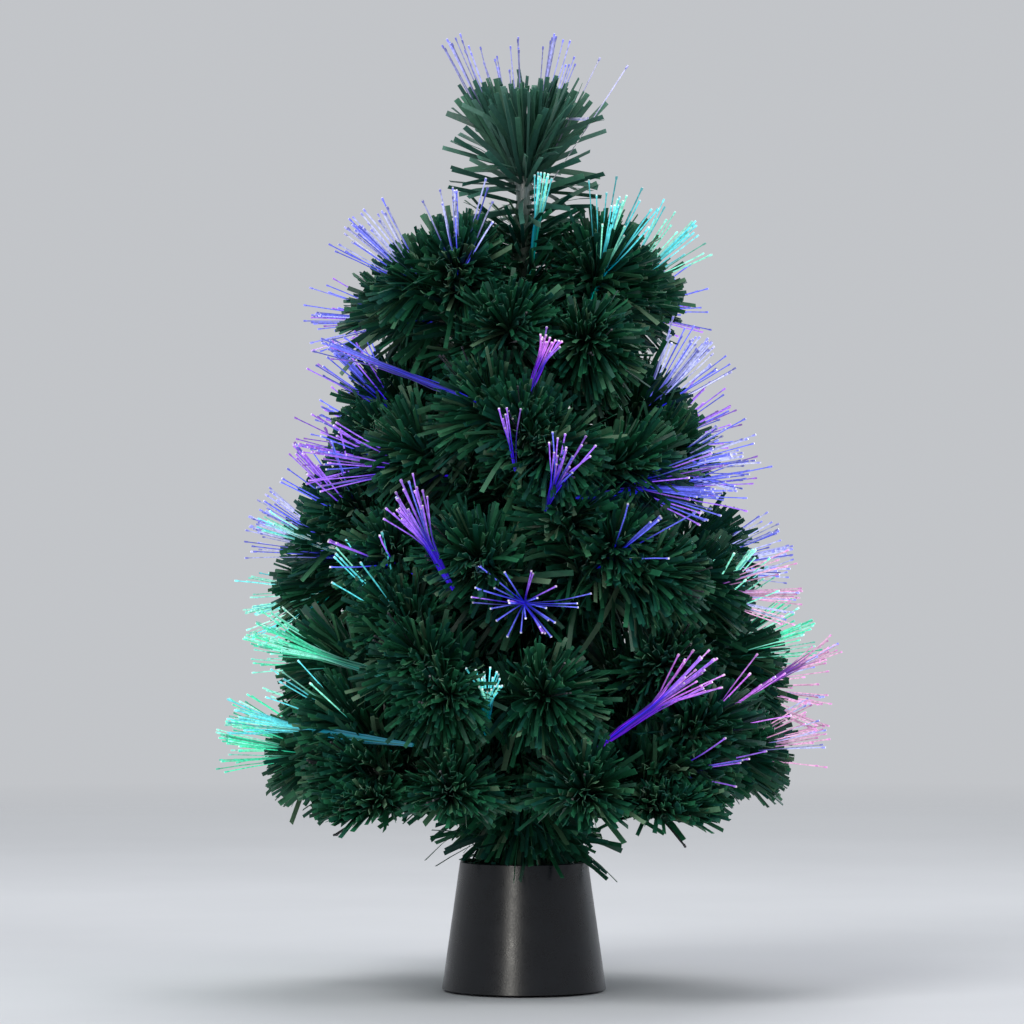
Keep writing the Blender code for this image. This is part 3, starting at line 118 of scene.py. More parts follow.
def ramp(tree, factor, stops, interpolation="LINEAR"):
    """A number turned into a colour: stops are (position, (red, green, blue))."""
    made = add(tree, "ValToRGB", {"Fac": factor})
    made.color_ramp.interpolation = interpolation
    elements = made.color_ramp.elements
    while len(elements) < len(stops):
        elements.new(1.0)
    for element, (position, colour) in zip(elements, stops):
        element.position = position
        element.color = (*colour, 1)
    return made.outputs["Color"]


def mix(tree, share, first, second, way="MIX"):
    """Two colours mixed by a share, or multiplied with each other."""
    inputs = {0: share, 6: first, 7: second}
    return add(tree, "Mix", inputs, data_type="RGBA", blend_type=way).outputs[2]


def calc(tree, operation, *values):
    """One step of arithmetic on numbers."""
    return add(tree, "Math", dict(enumerate(values)), operation=operation).outputs[0]


def grey(level):
    """A colour with this level of red, green and blue."""
    return (level, level, level)


def new_material(name, **values):
    """A Principled material with these socket values, its tree and its shader."""
    made = bpy.data.materials.new(name)
    made.use_nodes = True
    tree = made.node_tree
    tree.nodes.clear()
    inputs = {key.replace("_", " "): value for key, value in values.items()}
    shader = add(tree, "BsdfPrincipled", inputs)
    add(tree, "OutputMaterial", {"Surface": shader.outputs["BSDF"]})
    return made, tree, shader


def place(tree, scale=(1, 1, 1), centre=(0, 0, 0)):
    """Object coordinates about a centre, stretched by a scale."""
    where = add(tree, "TexCoord").outputs["Object"]
    moved = add(tree, "VectorMath", {0: where, 1: centre}, operation="SUBTRACT")
    return add(tree, "Mapping", {"Vector": moved.outputs[0], "Scale": scale}).outputs[0]


def noise(tree, where, scale, detail=2.0):
    """A cloudy grain: scale is how many clouds there are to a metre."""
    inputs = {"Vector": where, "Scale": scale, "Detail": detail}
    return add(tree, "TexNoise", inputs).outputs["Fac"]


def bump(tree, shader, height, strength, depth):
    """Raises the surface's shading by a height, depth metres at full strength."""
    inputs = {"Height": height, "Strength": strength, "Distance": depth}
    tree.links.new(add(tree, "Bump", inputs).outputs[0], shader.inputs["Normal"])


def paint(tree, shader, **links):
    """Links outputs to the shader's sockets, which are named with underscores."""
    for key, value in links.items():
        tree.links.new(value, shader.inputs[key.replace("_", " ")])


print("node helpers ready")

# %% Floor, backdrop and lamps
BACKDROP = (0.54, 0.555, 0.58)
WORLD_LIGHT = (0.34, 0.355, 0.38)
FLOOR_TONES = [(0.3, (0.74, 0.755, 0.78)), (0.7, (0.79, 0.805, 0.83))]
FLOOR_SIDES = 96
FADE_START = 0.9
FADE_END = 2.6
world = bpy.data.worlds.new("studio")
scene.world = world
world.use_nodes = True
tree = world.node_tree
tree.nodes.clear()
path = add(tree, "LightPath").outputs
seen = calc(tree, "MAXIMUM", path["Is Camera Ray"], path["Is Glossy Ray"])
seen = calc(tree, "MAXIMUM", seen, path["Is Transmission Ray"])
lit = add(tree, "Background", {"Color": (*WORLD_LIGHT, 1)})
shown = add(tree, "Background", {"Color": (*BACKDROP, 1)})
both = add(tree, "MixShader", {0: seen, 1: lit.outputs[0], 2: shown.outputs[0]})
add(tree, "OutputWorld", {"Surface": both.outputs[0]})

angles = np.linspace(0, 2 * math.pi, FLOOR_SIDES + 1)[:-1]
rim = np.column_stack([np.cos(angles), np.sin(angles), np.zeros(FLOOR_SIDES)]) * FADE_END
floor_mesh = bpy.data.meshes.new("floor")
floor_mesh.from_pydata(rim.tolist(), [], [list(range(FLOOR_SIDES))])
floor = bpy.data.objects.new("floor", floor_mesh)
scene.collection.objects.link(floor)
finish, tree, shader = new_material("pale_floor", Roughness=0.95, Specular_IOR_Level=0.08)
where = place(tree)
mottle = noise(tree, where, 3, 4)
paint(tree, shader, Base_Color=ramp(tree, mottle, FLOOR_TONES))
distance = add(tree, "VectorMath", {0: where}, operation="LENGTH").outputs["Value"]
fade = add(tree, "MapRange", {0: distance, 1: FADE_START, 2: FADE_END, 3: 1.0, 4: 0.0})
paint(tree, shader, Alpha=fade.outputs[0])
floor_mesh.materials.append(finish)

# Each lamp: name, place, (width, height) in metres, power in watts, colour.
WHITE = (1.0, 1.0, 1.0)
LAMP_AIM = (0, 0, 0.3)
LAMPS = (
    ("key", (-1.4, -1.9, 2.5), (1.4, 1.4), 43, WHITE),
    ("fill", (1.7, -1.5, 2.1), (1.4, 1.4), 15, WHITE),
    ("top", (0.2, 0.9, 2.0), (1.2, 1.2), 14, WHITE),
    ("strip", (-0.75, -2.10, 0.62), (0.14, 0.80), 17, (1.0, 0.97, 0.90)),
    ("right_edge", (1.3, 1.35, 0.75), (0.18, 0.9), 8, (0.76, 0.88, 1.0)),
)
HIGHLIGHTS_ONLY = ("strip", "right_edge")
for name, spot, (width, height), power, colour in LAMPS:
    data = bpy.data.lights.new(name, "AREA")
    data.color = colour
    data.shape = "RECTANGLE"
    data.size = width
    data.size_y = height
    data.energy = power
    lamp = bpy.data.objects.new(name, data)
    lamp.location = spot
    aim = np.array(LAMP_AIM) - np.array(spot)
    lamp.rotation_mode = "QUATERNION"
    lamp.rotation_quaternion = Vector(aim).to_track_quat("-Z", "Y")
    lamp.visible_diffuse = name not in HIGHLIGHTS_ONLY
    scene.collection.objects.link(lamp)
print("lamps:", [name for name, *_ in LAMPS])

# %% [markdown]
# ## Strands: one function for needles and fibres
# A needle is a flat strip of film and a fibre is a hair of clear plastic. Both are a
# small four-cornered outline carried along a path, so one function can make thousands of
# them at once. It takes whole arrays: the points of every path, the direction across
# every strip, and the half sizes. A hair or particle system would be quicker to set up,
# but real mesh strips can be measured, exported and moved with a branch. Each strand
# also gets a place in a map: across the map lies its own random number, and up the map
# lies the distance from its root, so one material can colour them all.


# %% The strand function
def unit(vectors):
    """The same directions, each with length one."""
    return vectors / np.linalg.norm(vectors, axis=-1, keepdims=True)


def quad_mesh(name, points, faces, chart=None):
    """A flat-shaded mesh from an array of points and an array of four-cornered faces."""
    mesh = bpy.data.meshes.new(name)
    corners = faces.astype(np.int32).ravel()
    mesh.vertices.add(len(points))
    mesh.vertices.foreach_set("co", points.astype(np.float32).ravel())
    mesh.loops.add(len(corners))
    mesh.loops.foreach_set("vertex_index", corners)
    mesh.polygons.add(len(faces))
    mesh.polygons.foreach_set("loop_start", np.arange(0, len(corners), 4, dtype=np.int32))
    mesh.polygons.foreach_set("use_smooth", np.full(len(faces), False))
    if chart is not None:
        layer = mesh.uv_layers.new(name="strand")
        layer.data.foreach_set("uv", chart[corners].astype(np.float32).ravel())
    mesh.update(calc_edges=True)
    return mesh


def tube_faces(rings, sides, closed=False):
    """Faces between neighbouring rings of points; closed joins the last ring to the first."""
    ring, side = np.indices((rings if closed else rings - 1, sides))
    beside = (side + 1) % sides
    here, ahead = ring * sides, (ring + 1) % rings * sides
    faces = np.stack([here + side, here + beside, ahead + beside, ahead + side], -1)
    return faces.reshape(-1, 4)


def strand_mesh(name, path, across, half_width, half_depth, tone, along):
    """Closed four-sided strips.

    With t the path's tangent and a the direction across it made square to t, the strip
    faces m = t x a. Its corners at each station are path ± half_width·a ± half_depth·m.
    path is (strands, stations, 3), the half sizes are (strands, stations).
    """
    strands, stations, _ = path.shape
    tangent = unit(np.gradient(path, axis=1))
    across = unit(across - (across * tangent).sum(-1, keepdims=True) * tangent)
    facing = np.cross(tangent, across)
    wide = across * half_width[..., None]
    deep = facing * half_depth[..., None]
    corners = [path + wide + deep, path - wide + deep, path - wide - deep, path + wide - deep]
    ring = np.stack(corners, axis=2)
    first = (np.arange(strands) * stations * 4)[:, None]
    walls = (first[..., None] + tube_faces(stations, 4)).reshape(-1, 4)
    foot = first + np.array([3, 2, 1, 0])
    tip = first + (stations - 1) * 4 + np.arange(4)
    chart = np.broadcast_arrays(tone[:, None, None], along[None, :, None], np.zeros(4))
    chart = np.stack(chart[:2], -1).reshape(-1, 2)
    faces = np.concatenate([walls, foot, tip])
    return quad_mesh(name, ring.reshape(-1, 3), faces, chart)


def strand_count(mesh, stations):
    """How many strands a mesh has: each has 4·(stations - 1) walls and two ends."""
    return len(mesh.polygons) // (4 * (len(stations) - 1) + 2)


def square_axes(way):
    """Two unit vectors square to each direction and to each other."""
    helper = np.where(np.abs(way[..., 2:3]) < 0.9, [[0.0, 0.0, 1.0]], [[1.0, 0.0, 0.0]])
    first = unit(np.cross(way, helper))
    return first, np.cross(way, first)


def leaning(way, lean, turn):
    """Directions that lean from an axis, with a and b square to it.

    cos(lean)·way + sin(lean)·(cos(turn)·a + sin(turn)·b)
    """
    a, b = square_axes(way)
    outward = np.cos(turn)[:, None] * a + np.sin(turn)[:, None] * b
    return np.cos(lean)[:, None] * way + np.sin(lean)[:, None] * outward


def dress(name, mesh, finish, body, slot, *replaced):
    """Puts a mesh into the scene, gives it its finish and rides it on its body."""
    mesh.materials.append(finish)
    piece = bpy.data.objects.new(name, mesh)
    scene.collection.objects.link(piece)
    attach(piece, body)
    if replaced:
        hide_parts(*replaced)


def dress_branch(number, mesh, finish, slot):
    """Puts a mesh, under its own name, on a branch in place of its foliage."""
    dress(mesh.name, mesh, finish, f"branch_{number}", slot, f"branch_{number}_foliage")


print("strand functions ready")

# %% [markdown]
# ## The needles' finish
# The needles are cut from dyed film, so they differ a little: most are a deep bottle
# green, some lean to blue, and a few are olive and catch the eye. The strand's random
# number picks the dye. Towards the root the film is painted darker, as painted shade for
# the dark heart of each brush, and the cut end is a touch paler. The crown is bound from
# older, greyer stock, so the same function makes it with other dyes.


# %% Needle finishes
DEEP_GREEN = [
    (0.0, (0.003, 0.052, 0.025)),
    (0.24, (0.005, 0.084, 0.042)),
    (0.44, (0.004, 0.072, 0.055)),
    (0.66, (0.008, 0.112, 0.048)),
    (0.86, (0.016, 0.148, 0.064)),
    (0.94, (0.048, 0.170, 0.080)),
    (1.0, (0.125, 0.225, 0.130)),
]
GREY_GREEN = [
    (0.0, (0.028, 0.112, 0.080)),
    (0.35, (0.040, 0.150, 0.112)),
    (0.7, (0.052, 0.180, 0.105)),
    (1.0, (0.110, 0.260, 0.200)),
]
# Painted shade: a needle darkens towards its root, where the brush's heart is shaded; its cut end
# is paler.
ROOT_SHADE_TO_END = [(0.0, grey(0.42)), (0.35, grey(0.78)), (0.9, grey(1.0)), (1.0, grey(1.3))]
FILM_GRAIN = 420


def strand_map(tree):
    """A strand's own number, and the share of its length from the root."""
    chart = add(tree, "UVMap", uv_map="strand").outputs[0]
    split = add(tree, "SeparateXYZ", {0: chart})
    return split.outputs["X"], split.outputs["Y"]


def needle_finish(name, dyes):
    """Film dyed by the strand's number, with painted shade at the root and a paler cut end."""
    made, tree, shader = new_material(name, Roughness=0.46, Specular_IOR_Level=0.4)
    own_number, along = strand_map(tree)
    dye = ramp(tree, own_number, dyes)
    # painted shade towards the root, paler at the cut end
    shade = ramp(tree, along, ROOT_SHADE_TO_END)
    grain = noise(tree, place(tree), FILM_GRAIN, 3)
    mottled = ramp(tree, grain, [(0.25, grey(0.8)), (0.75, grey(1.12))])
    colour = mix(tree, 1.0, dye, shade, "MULTIPLY")
    colour = mix(tree, 1.0, colour, mottled, "MULTIPLY")
    gloss = ramp(tree, grain, [(0.3, grey(0.38)), (0.7, grey(0.56))])
    paint(tree, shader, Base_Color=colour, Roughness=gloss)
    bump(tree, shader, grain, 0.3, 0.0002)
    return made


green_film = needle_finish("green_film", DEEP_GREEN)
grey_film = needle_finish("grey_green_film", GREY_GREEN)
print("needle finishes:", green_film.name, grey_film.name)

# %% [markdown]
# ## Where the branches are
# Fifteen branches stand in five tiers. The frame's joints say where each one is hinged
# and how far it folds up, which gives its direction, because every branch folds up to
# the same steep angle. The lengths of the wires and the places of their four side twigs
# are the maker's table, lowest tier first.

# %% Branch table
FOLDED_UP = 78.0
TIER_OF_BRANCH = (0, 0, 0, 0, 1, 1, 1, 2, 2, 2, 3, 3, 3, 4, 4)
TIER_LENGTHS = (0.130, 0.126, 0.122, 0.106, 0.092)
TIER_SIDE_YAWS = (42, 56, 56, 58, 82)
TWIG_STARTS = (0.26, 0.35, 0.56, 0.66)
TWIG_LENGTHS = (0.80, 0.74, 0.50, 0.44)
TWIG_YAWS = (1.0, -1.0, 0.46, -0.46)
TWIG_PITCHES = (6, -7, 27, -26)
joints = {joint["name"]: joint for joint in frame["joints"]}
up = np.array([0.0, 0.0, 1.0])


def branch_lines(number):
    """A branch's own wire, then its four side twigs: rows of (root, direction, length).

    With out the level direction away from the trunk, the wire runs along
    cos(slope)·out + sin(slope)·up. A twig is turned from it by yaw to the side and by
    pitch up or down.
    """
    fold = joints[f"branch_{number}_fold"]
    tier = TIER_OF_BRANCH[number - 1]
    first = TIER_OF_BRANCH.index(tier)
    mirror = 1 if (number - 1 - first) % 2 else -1
    root = np.array(fold["pos_m"])
    out = unit(root * (1, 1, 0))
    slope = math.radians(FOLDED_UP - fold["range_deg"][1])
    along = out * math.cos(slope) + up * math.sin(slope)
    side = unit(np.cross(along, up))
    down = -np.cross(side, along)
    length = TIER_LENGTHS[tier]
    rows = [(root, along, length)]
    for start, share, yaw_share, pitch in zip(TWIG_STARTS, TWIG_LENGTHS, TWIG_YAWS, TWIG_PITCHES):
        yaw = math.radians(TIER_SIDE_YAWS[tier] * yaw_share)
        tilt = math.radians(pitch * mirror)
        sideways = side * math.sin(yaw) * math.cos(tilt)
        ahead = along * math.cos(yaw) * math.cos(tilt)
        way = sideways + down * math.sin(tilt) + ahead
        rows.append((root + along * start * length, way, share * length))
    return rows


branches = [branch_lines(number) for number in range(1, len(TIER_OF_BRANCH) + 1)]
tips = np.array([root + way * length for rows in branches for root, way, length in rows])
print("twig ends:", len(tips), "widest at", np.abs(tips[:, :2]).max().round(3), "m")

# %% [markdown]
# ## Needles on a branch
# At the end of each twig the needles crowd like a shaving brush: they start close
# together and are trimmed to a shallow dome, which gives the blunt front and the dark
# heart. Behind them a second group leans out and fills the flanks, and further back on
# the stem they stand wider apart. Each needle is drawn from its root to its own place on
# that dome, which is simpler to steer than an angle. No two brushes on the real tree are
# alike, so each one is tilted and sized a little differently, short side sprigs fill the
# gaps, and a few wide loose strips hang where they like. The lowest needles may not pass
# below the tree's hem, so they are turned outwards instead of down.

# %% Needle growth
# Metres and degrees. Growth is (leans, reach), and the tones are a start and a span.
NEEDLE_HALF_WIDTH = 0.0014
NEEDLE_HALF_DEPTH = 0.00012
NEEDLE_WIDTHS = (0.82, 1.16)
NEEDLE_TAPER = ((0, 0.35, 1), (0.7, 1.0, 0.96))
NEEDLE_TWIST = 0.35
NEEDLE_STATIONS = np.array([0.0, 0.35, 0.7, 1.0])
FRONT_COUNT = 150
FRONT_RADIUS = 0.034
FRONT_REACH = 0.036
FRONT_DOME = 0.014
FRONT_DEPTH = 0.020
FRONT_TILT = 0.16
FRONT_SIZES = (0.78, 1.16)
FLANK_COUNT = 100
FLANK_DEPTH = 0.030
FLANK_STOP = 0.004
FLANK_GROWTH = ((30, 66), 0.040)
STEM_PITCH = 0.0007
STEM_GROWTH = ((32, 76), 0.041)
BARE_AT_TRUNK = 0.024
BARE_ON_TWIG = 0.006
SPRIG_COUNT = 12
SPRIG_NEEDLES = 64
SPRIG_SIZE = 0.86
SPRIG_LEANS = (30, 85)
LOOSE_COUNT = 60
LOOSE_LEANS = (15, 100)
LOOSE_LENGTHS = (0.032, 0.052)
LOOSE_TONES = (0.72, 0.28)
LOOSE_WIDER = 0.25
GOLDEN_TURN = math.pi * (3 - math.sqrt(5))
HEM = 0.122
HEM_RAGGED = 0.020
LOOSE_BELOW_HEM = 0.006
draw = np.random.default_rng(24)


def brush(root, way, length, size=1.0, count=FRONT_COUNT):
    """Roots, directions and lengths of the needles that crowd at a twig's end.

    With f from 0 to 1, an end lies at radius R·sqrt(f) and reach - dome·f beyond the
    tip, turned by the golden angle, so the ends are spread evenly over a dome. Its root
    is depth·f before the tip. The dome is tilted, pressed flat along one diameter and
    combed into clumps by 0.3·sin(2·turn) + 0.25·sin(3·turn), each with its own phase.
    """
    f = (np.arange(count) + 0.5) / count
    turn = np.arange(count) * GOLDEN_TURN + draw.normal(0, 0.25, count)
    clump = draw.uniform(0, 2 * math.pi, 3)
    turn = turn + 0.3 * np.sin(2 * turn + clump[0]) + 0.25 * np.sin(3 * turn + clump[1])
    axis = unit(way + draw.normal(0, FRONT_TILT, 3))
    a, b = square_axes(axis[None])
    x = math.cos(clump[2]) * a + math.sin(clump[2]) * b
    y = math.cos(clump[2]) * b - math.sin(clump[2]) * a
    wide, tall, deep = draw.uniform(*FRONT_SIZES, 3) * size
    outward = wide * np.cos(turn)[:, None] * x + tall * np.sin(turn)[:, None] * y
    roots = root + way * (length - FRONT_DEPTH * size * f)[:, None]
    reach = (FRONT_REACH * deep - FRONT_DOME * f) * draw.uniform(0.76, 1.08, count)
    radius = FRONT_RADIUS * np.sqrt(f) * draw.uniform(0.80, 1.14, count)
    line = root + way * length + axis * reach[:, None] + outward * radius[:, None] - roots
    long = np.linalg.norm(line, axis=1)
    return roots, line / long[:, None], long, np.zeros(count)


def stem(root, way, start, end, count, leans, reach):
    """Needles spaced along a stem, leaning forward between two angles in degrees."""
    at = start + (end - start) * (np.arange(count) + draw.uniform(0, 1, count)) / count
    lean = np.radians(draw.uniform(*leans, count))
    turn = np.arange(count) * GOLDEN_TURN + draw.normal(0, 0.3, count)
    long = reach * draw.uniform(0.8, 1.05, count)
    return root + way * at[:, None], leaning(way, lean, turn), long, np.zeros(count)


def side_sprig(root, way, length):
    """A short sprig that leaves a stem at a random place and turns away to one side."""
    at = root + way * length * draw.uniform(0.25, 0.95)
    lean = np.radians(draw.uniform(*SPRIG_LEANS, 1))
    turned = leaning(way[None], lean, draw.uniform(0, 2 * math.pi, 1))[0]
    turned = unit(turned * (1, 1, 0.8) + up * 0.05)
    return brush(at, turned, draw.uniform(0.004, 0.016), SPRIG_SIZE, SPRIG_NEEDLES)


def loose(rows, count):
    """Wide strips that start anywhere on the stems and lie at any angle ahead of them."""
    picked = [rows[k] for k in draw.integers(0, len(rows), count)]
    root, way, length = (np.array(part) for part in zip(*picked))
    at = length * draw.uniform(0.35, 0.95, count)
    lean = np.radians(draw.uniform(*LOOSE_LEANS, count))
    turned = leaning(way, lean, draw.uniform(0, 2 * math.pi, count))
    long = draw.uniform(*LOOSE_LENGTHS, count)
    return root + way * at[:, None], turned, long, np.ones(count)


def needle_mesh(
    name, groups, hem=HEM, stations=NEEDLE_STATIONS, wide=1.0, bend=0.06, rest=None, sag=0.0
):
    """One mesh of all the needles in groups of (roots, directions, lengths, looseness).

    A path is root + t·length·way + t²·bow·m, with m square to the strip and t from 0 to
    1. Where an end would fall below the hem, the direction's rise is lifted to reach it.
    Needles that sag drop by up to sag·t²·length times the level part of their direction.
    A rest (radii, heights) is what they lie on: no point may be below its height there.
    """
    roots, ways, lengths, looseness = (np.concatenate(part) for part in zip(*groups))
    count = len(roots)
    ragged = HEM_RAGGED * draw.uniform(0, 1, count) ** 1.5
    lowest = hem + ragged - LOOSE_BELOW_HEM * looseness
    rise = np.clip(np.maximum(ways[:, 2], (lowest - roots[:, 2]) / lengths), -0.98, 0.98)
    level = np.sqrt((1 - rise**2) / np.maximum(1 - ways[:, 2] ** 2, 1e-6))
    ways = unit(np.column_stack([ways[:, :2] * level[:, None], rise]))
    first, second = square_axes(ways)
    roll = draw.uniform(0, math.pi, count)[:, None]
    flat = np.cos(roll) * first + np.sin(roll) * second
    face = np.cross(ways, flat)
    t = stations[None, :, None]
    bow = (draw.normal(0, bend, count) * lengths * (1 + looseness))[:, None, None]
    path = roots[:, None] + t * (lengths[:, None] * ways)[:, None] + t**2 * bow * face[:, None]
    hang = draw.uniform(0, 1, count) * sag * lengths * np.hypot(ways[:, 0], ways[:, 1])
    path[..., 2] -= t[..., 0] ** 2 * hang[:, None]
    if rest:
        lowest = np.interp(np.linalg.norm(path[..., :2], axis=-1), *rest)
        path[..., 2] = np.maximum(path[..., 2], lowest)
    twist = draw.normal(0, NEEDLE_TWIST, count)[:, None, None] * t
    across = np.cos(twist) * flat[:, None] + np.sin(twist) * face[:, None]
    broad = wide * NEEDLE_HALF_WIDTH * draw.uniform(*NEEDLE_WIDTHS, count)
    width = (broad * (1 + LOOSE_WIDER * looseness))[:, None] * np.interp(stations, *NEEDLE_TAPER)
    depth = np.full_like(width, NEEDLE_HALF_DEPTH)
    tone = draw.uniform(0, 1, count)
    tone = np.where(looseness > 0, LOOSE_TONES[0] + LOOSE_TONES[1] * tone, tone)
    return strand_mesh(name, path, across, width, depth, tone, stations)


total = 0
for number, rows in enumerate(branches, 1):
    groups = [loose(rows, LOOSE_COUNT)]
    for place_in_branch, (root, way, length) in enumerate(rows):
        groups.append(brush(root, way, length))
        start = BARE_AT_TRUNK if place_in_branch == 0 else BARE_ON_TWIG
        flank = max(length - FLANK_DEPTH, start)
        stop = length - FLANK_STOP
        groups.append(stem(root, way, flank, stop, FLANK_COUNT, *FLANK_GROWTH))
        count = int((flank - start) / STEM_PITCH)
        groups.append(stem(root, way, start, flank, count, *STEM_GROWTH))
    groups += [side_sprig(*rows[k % len(rows)]) for k in range(SPRIG_COUNT)]
    mesh = needle_mesh(f"branch_{number}_needles", groups, bend=0.09, sag=0.24)
    total += strand_count(mesh, NEEDLE_STATIONS)
    dress_branch(number, mesh, green_film, "green_needles")
print("needles on the branches:", total)

# %% [markdown]
# ## The trunk's own needles, the neck and the crown
# Between the branches the trunk is bound with needles too, so no bare gap shows. At its
# foot a band of them hangs over the pot's rim. At the top the fibres flare like a
# fountain, and the crown's needles are bound on their outside: each one starts well
# away from the middle and goes on in the same direction. A collar of long loose ones
# stands out sideways below it.

# %% Trunk, neck and crown needles
TRUNK_FOOT = 0.0776
TRUNK_TOP = 0.4876
WRAP_RADII = (0.0085, 0.0043)
POT_TOP_RADII = (0.016, 0.020, 0.030, 0.0375, 0.0415, 0.0815)
POT_TOP_HEIGHTS = (0.0795, 0.0750, 0.0750, 0.0830, 0.0830, 0.0500)
CROWN_HEART = np.array([0.0, 0.0, 0.503])
CROWN_LEAN = math.radians(33)
CROWN_HEIGHT = 0.0735
CROWN_SHOULDER = 0.0080
CROWN_LOBES = 0.005
CROWN_RAGGED = 0.009
CROWN_ROOTS = (0.004, 0.030)
NECK_HEM = 0.064
NECK_STATIONS = np.array([0.0, 0.2, 0.4, 0.6, 0.8, 1.0])
# Each band: lowest and highest root, how many, climbs in degrees, length. The inner ones
# reach out between the lower tiers, where the tree would be see-through.
TRUNK_BANDS = [(0.122, 0.398, 2000, (-24, 42), 0.046), (0.160, 0.300, 300, (-34, 44), 0.066)]
SLEEVE_BANDS = [(0.398, 0.482, 430, (0, 32), 0.042)]
CROWN_BANDS = [(0.488, 0.522, 46, (-8, 30), 0.050), (0.508, 0.536, 44, (14, 50), 0.052)]
NECK_BANDS = [
    (0.088, 0.112, 120, (20, 70), 0.034),
    (0.104, 0.132, 260, (-78, -20), 0.040),
    (0.112, 0.152, 260, (-60, 50), 0.042),
    (0.090, 0.118, 34, (-10, 25), 0.046),
    (0.092, 0.122, 34, (-14, 20), 0.058),
]
INNER_BANDS = [(0.165, 0.290, 300, (-16, 34), 0.078)]


def round_trunk(low, high, count, climbs, reach):
    """Needles rooted round the trunk's wrap, climbing between two angles in degrees."""
    height = np.sort(draw.uniform(low, high, count))
    share = (height - TRUNK_FOOT) / (TRUNK_TOP - TRUNK_FOOT)
    radius = WRAP_RADII[0] + (WRAP_RADII[1] - WRAP_RADII[0]) * np.clip(share, 0, 1)
    turn = np.arange(count) * GOLDEN_TURN
    out = np.column_stack([np.cos(turn), np.sin(turn), np.zeros(count)])
    climb = np.radians(draw.uniform(*climbs, count))[:, None]
    roots = out * radius[:, None] + up * height[:, None]
    long = reach * draw.uniform(0.85, 1.05, count)
    return roots, np.cos(climb) * out + np.sin(climb) * up, long, np.zeros(count)


def crown_fan(count):
    """Needles on a flared bundle, with a nearly flat top.

    An end lies (height - shoulder·f)/cos(lean) from the bundle's heart, and its root 4 to
    30 mm from it on the same line. The turns are drawn together into seven clumps.
    """
    f = (np.arange(count) + 0.5) / count
    lean = np.arccos(1 - f * (1 - math.cos(CROWN_LEAN))) + draw.normal(0, 0.07, count)
    turn = np.arange(count) * GOLDEN_TURN
    turn = turn + 0.11 * np.sin(7 * turn + 1.3) + draw.normal(0, 0.05, count)
    way = leaning(np.tile(up, (count, 1)), lean, turn)
    lobes = CROWN_LOBES * np.sin(5 * turn + 9 * lean) * np.sin(7 * lean + 2 * turn)
    end = (CROWN_HEIGHT - CROWN_SHOULDER * f) / np.cos(lean)
    end = end + lobes - draw.uniform(0, CROWN_RAGGED, count)
    start = draw.uniform(*CROWN_ROOTS, count)
    return CROWN_HEART + way * start[:, None], way, end - start, np.zeros(count)


def bind(name, bands, finish, *replaced, fan=(), **look):
    """Needles in bands round the trunk, and any fan of them, as one piece of the tree."""
    groups = [*fan] + [round_trunk(*band) for band in bands]
    mesh = needle_mesh(name, groups, **look)
    dress(name, mesh, finish, "tree", "green_needles", *replaced)
    print(name, strand_count(mesh, look.get("stations", NEEDLE_STATIONS)))


bind("trunk_needles", TRUNK_BANDS, green_film, bend=0.10)
bind("crown_sleeve_needles", SLEEVE_BANDS, green_film, "crown_sprig", bend=0.10)
look = {"wide": 1.18, "bend": 0.12, "sag": 0.12}
bind("crown_needles", CROWN_BANDS, grey_film, "crown_sprig", fan=[crown_fan(210)], **look)
look = {"hem": NECK_HEM, "stations": NECK_STATIONS, "wide": 1.1, "bend": 0.10, "sag": 0.45}
look["rest"] = (POT_TOP_RADII, POT_TOP_HEIGHTS)
bind("neck_needles_loose", NECK_BANDS, green_film, "neck_needles", **look)
bind("inner_needles", INNER_BANDS, green_film, bend=0.10)

# %% [markdown]
# ## Long loose strips
# The strips that were bound in badly are what makes a cut-strip tree look real: they are
# wider and longer than the rest, lie across the brushes at any angle, and droop. They are
# a piece of their own on each branch, so they can be made fewer without touching the rest.

# %% Long loose strips
STRAY_COUNT = 48
for number, rows in enumerate(branches, 1):
    name = f"branch_{number}_loose_strips"
    strays = needle_mesh(name, [loose(rows, STRAY_COUNT)], bend=0.12, sag=0.35)
    dress_branch(number, strays, green_film, "green_needles")
print("loose strips:", STRAY_COUNT * len(branches))

# %% [markdown]
# ## Bound stems
# Each stem is a wire with fibres laid along it and tape wound round both. Seen close it
# is a two-ply twist. The surface is a function of two parameters, the distance along the
# stem and the angle round it: the radius swells twice in a turn, and the swelling
# travels round as it goes along. Under the crown the bare trunk shows, bound in tape: a
# plain tube that steps in a little at each lap.


# %% Stems
# Each: where it starts, its radius there and its radius at the end.
MAIN_STEM = (0.0195, 0.0032, 0.0018)
TWIG_STEM = (0.001, 0.0019, 0.0013)
BOUND_TONES = [(0.3, (0.008, 0.034, 0.018)), (0.7, (0.02, 0.07, 0.036))]


def twisted_stem(root, way, start, end, thick, thin, sides=10, pitch=0.009):
    """radius(s, a) = taper(s)·(1 + 0.13·cos(2·(a - 2π·s/pitch))), closed by flat ends."""
    rings = max(int((end - start) / (pitch / 6)), 4)
    s = np.linspace(start, end, rings)
    a = np.arange(sides) * 2 * math.pi / sides
    taper = thick + (thin - thick) * (s - start) / (end - start)
    twist = a[None, :] - 2 * math.pi * s[:, None] / pitch
    radius = taper[:, None] * (1 + 0.13 * np.cos(2 * twist))
    x, y = square_axes(way[None])
    outward = np.cos(a)[:, None] * x + np.sin(a)[:, None] * y
    points = (root + way * s[:, None])[:, None] + radius[..., None] * outward[None]
    last = (rings - 1) * sides
    caps = [list(range(sides))[::-1], [last + k for k in range(sides)]]
    return points.reshape(-1, 3), tube_faces(rings, sides).tolist() + caps


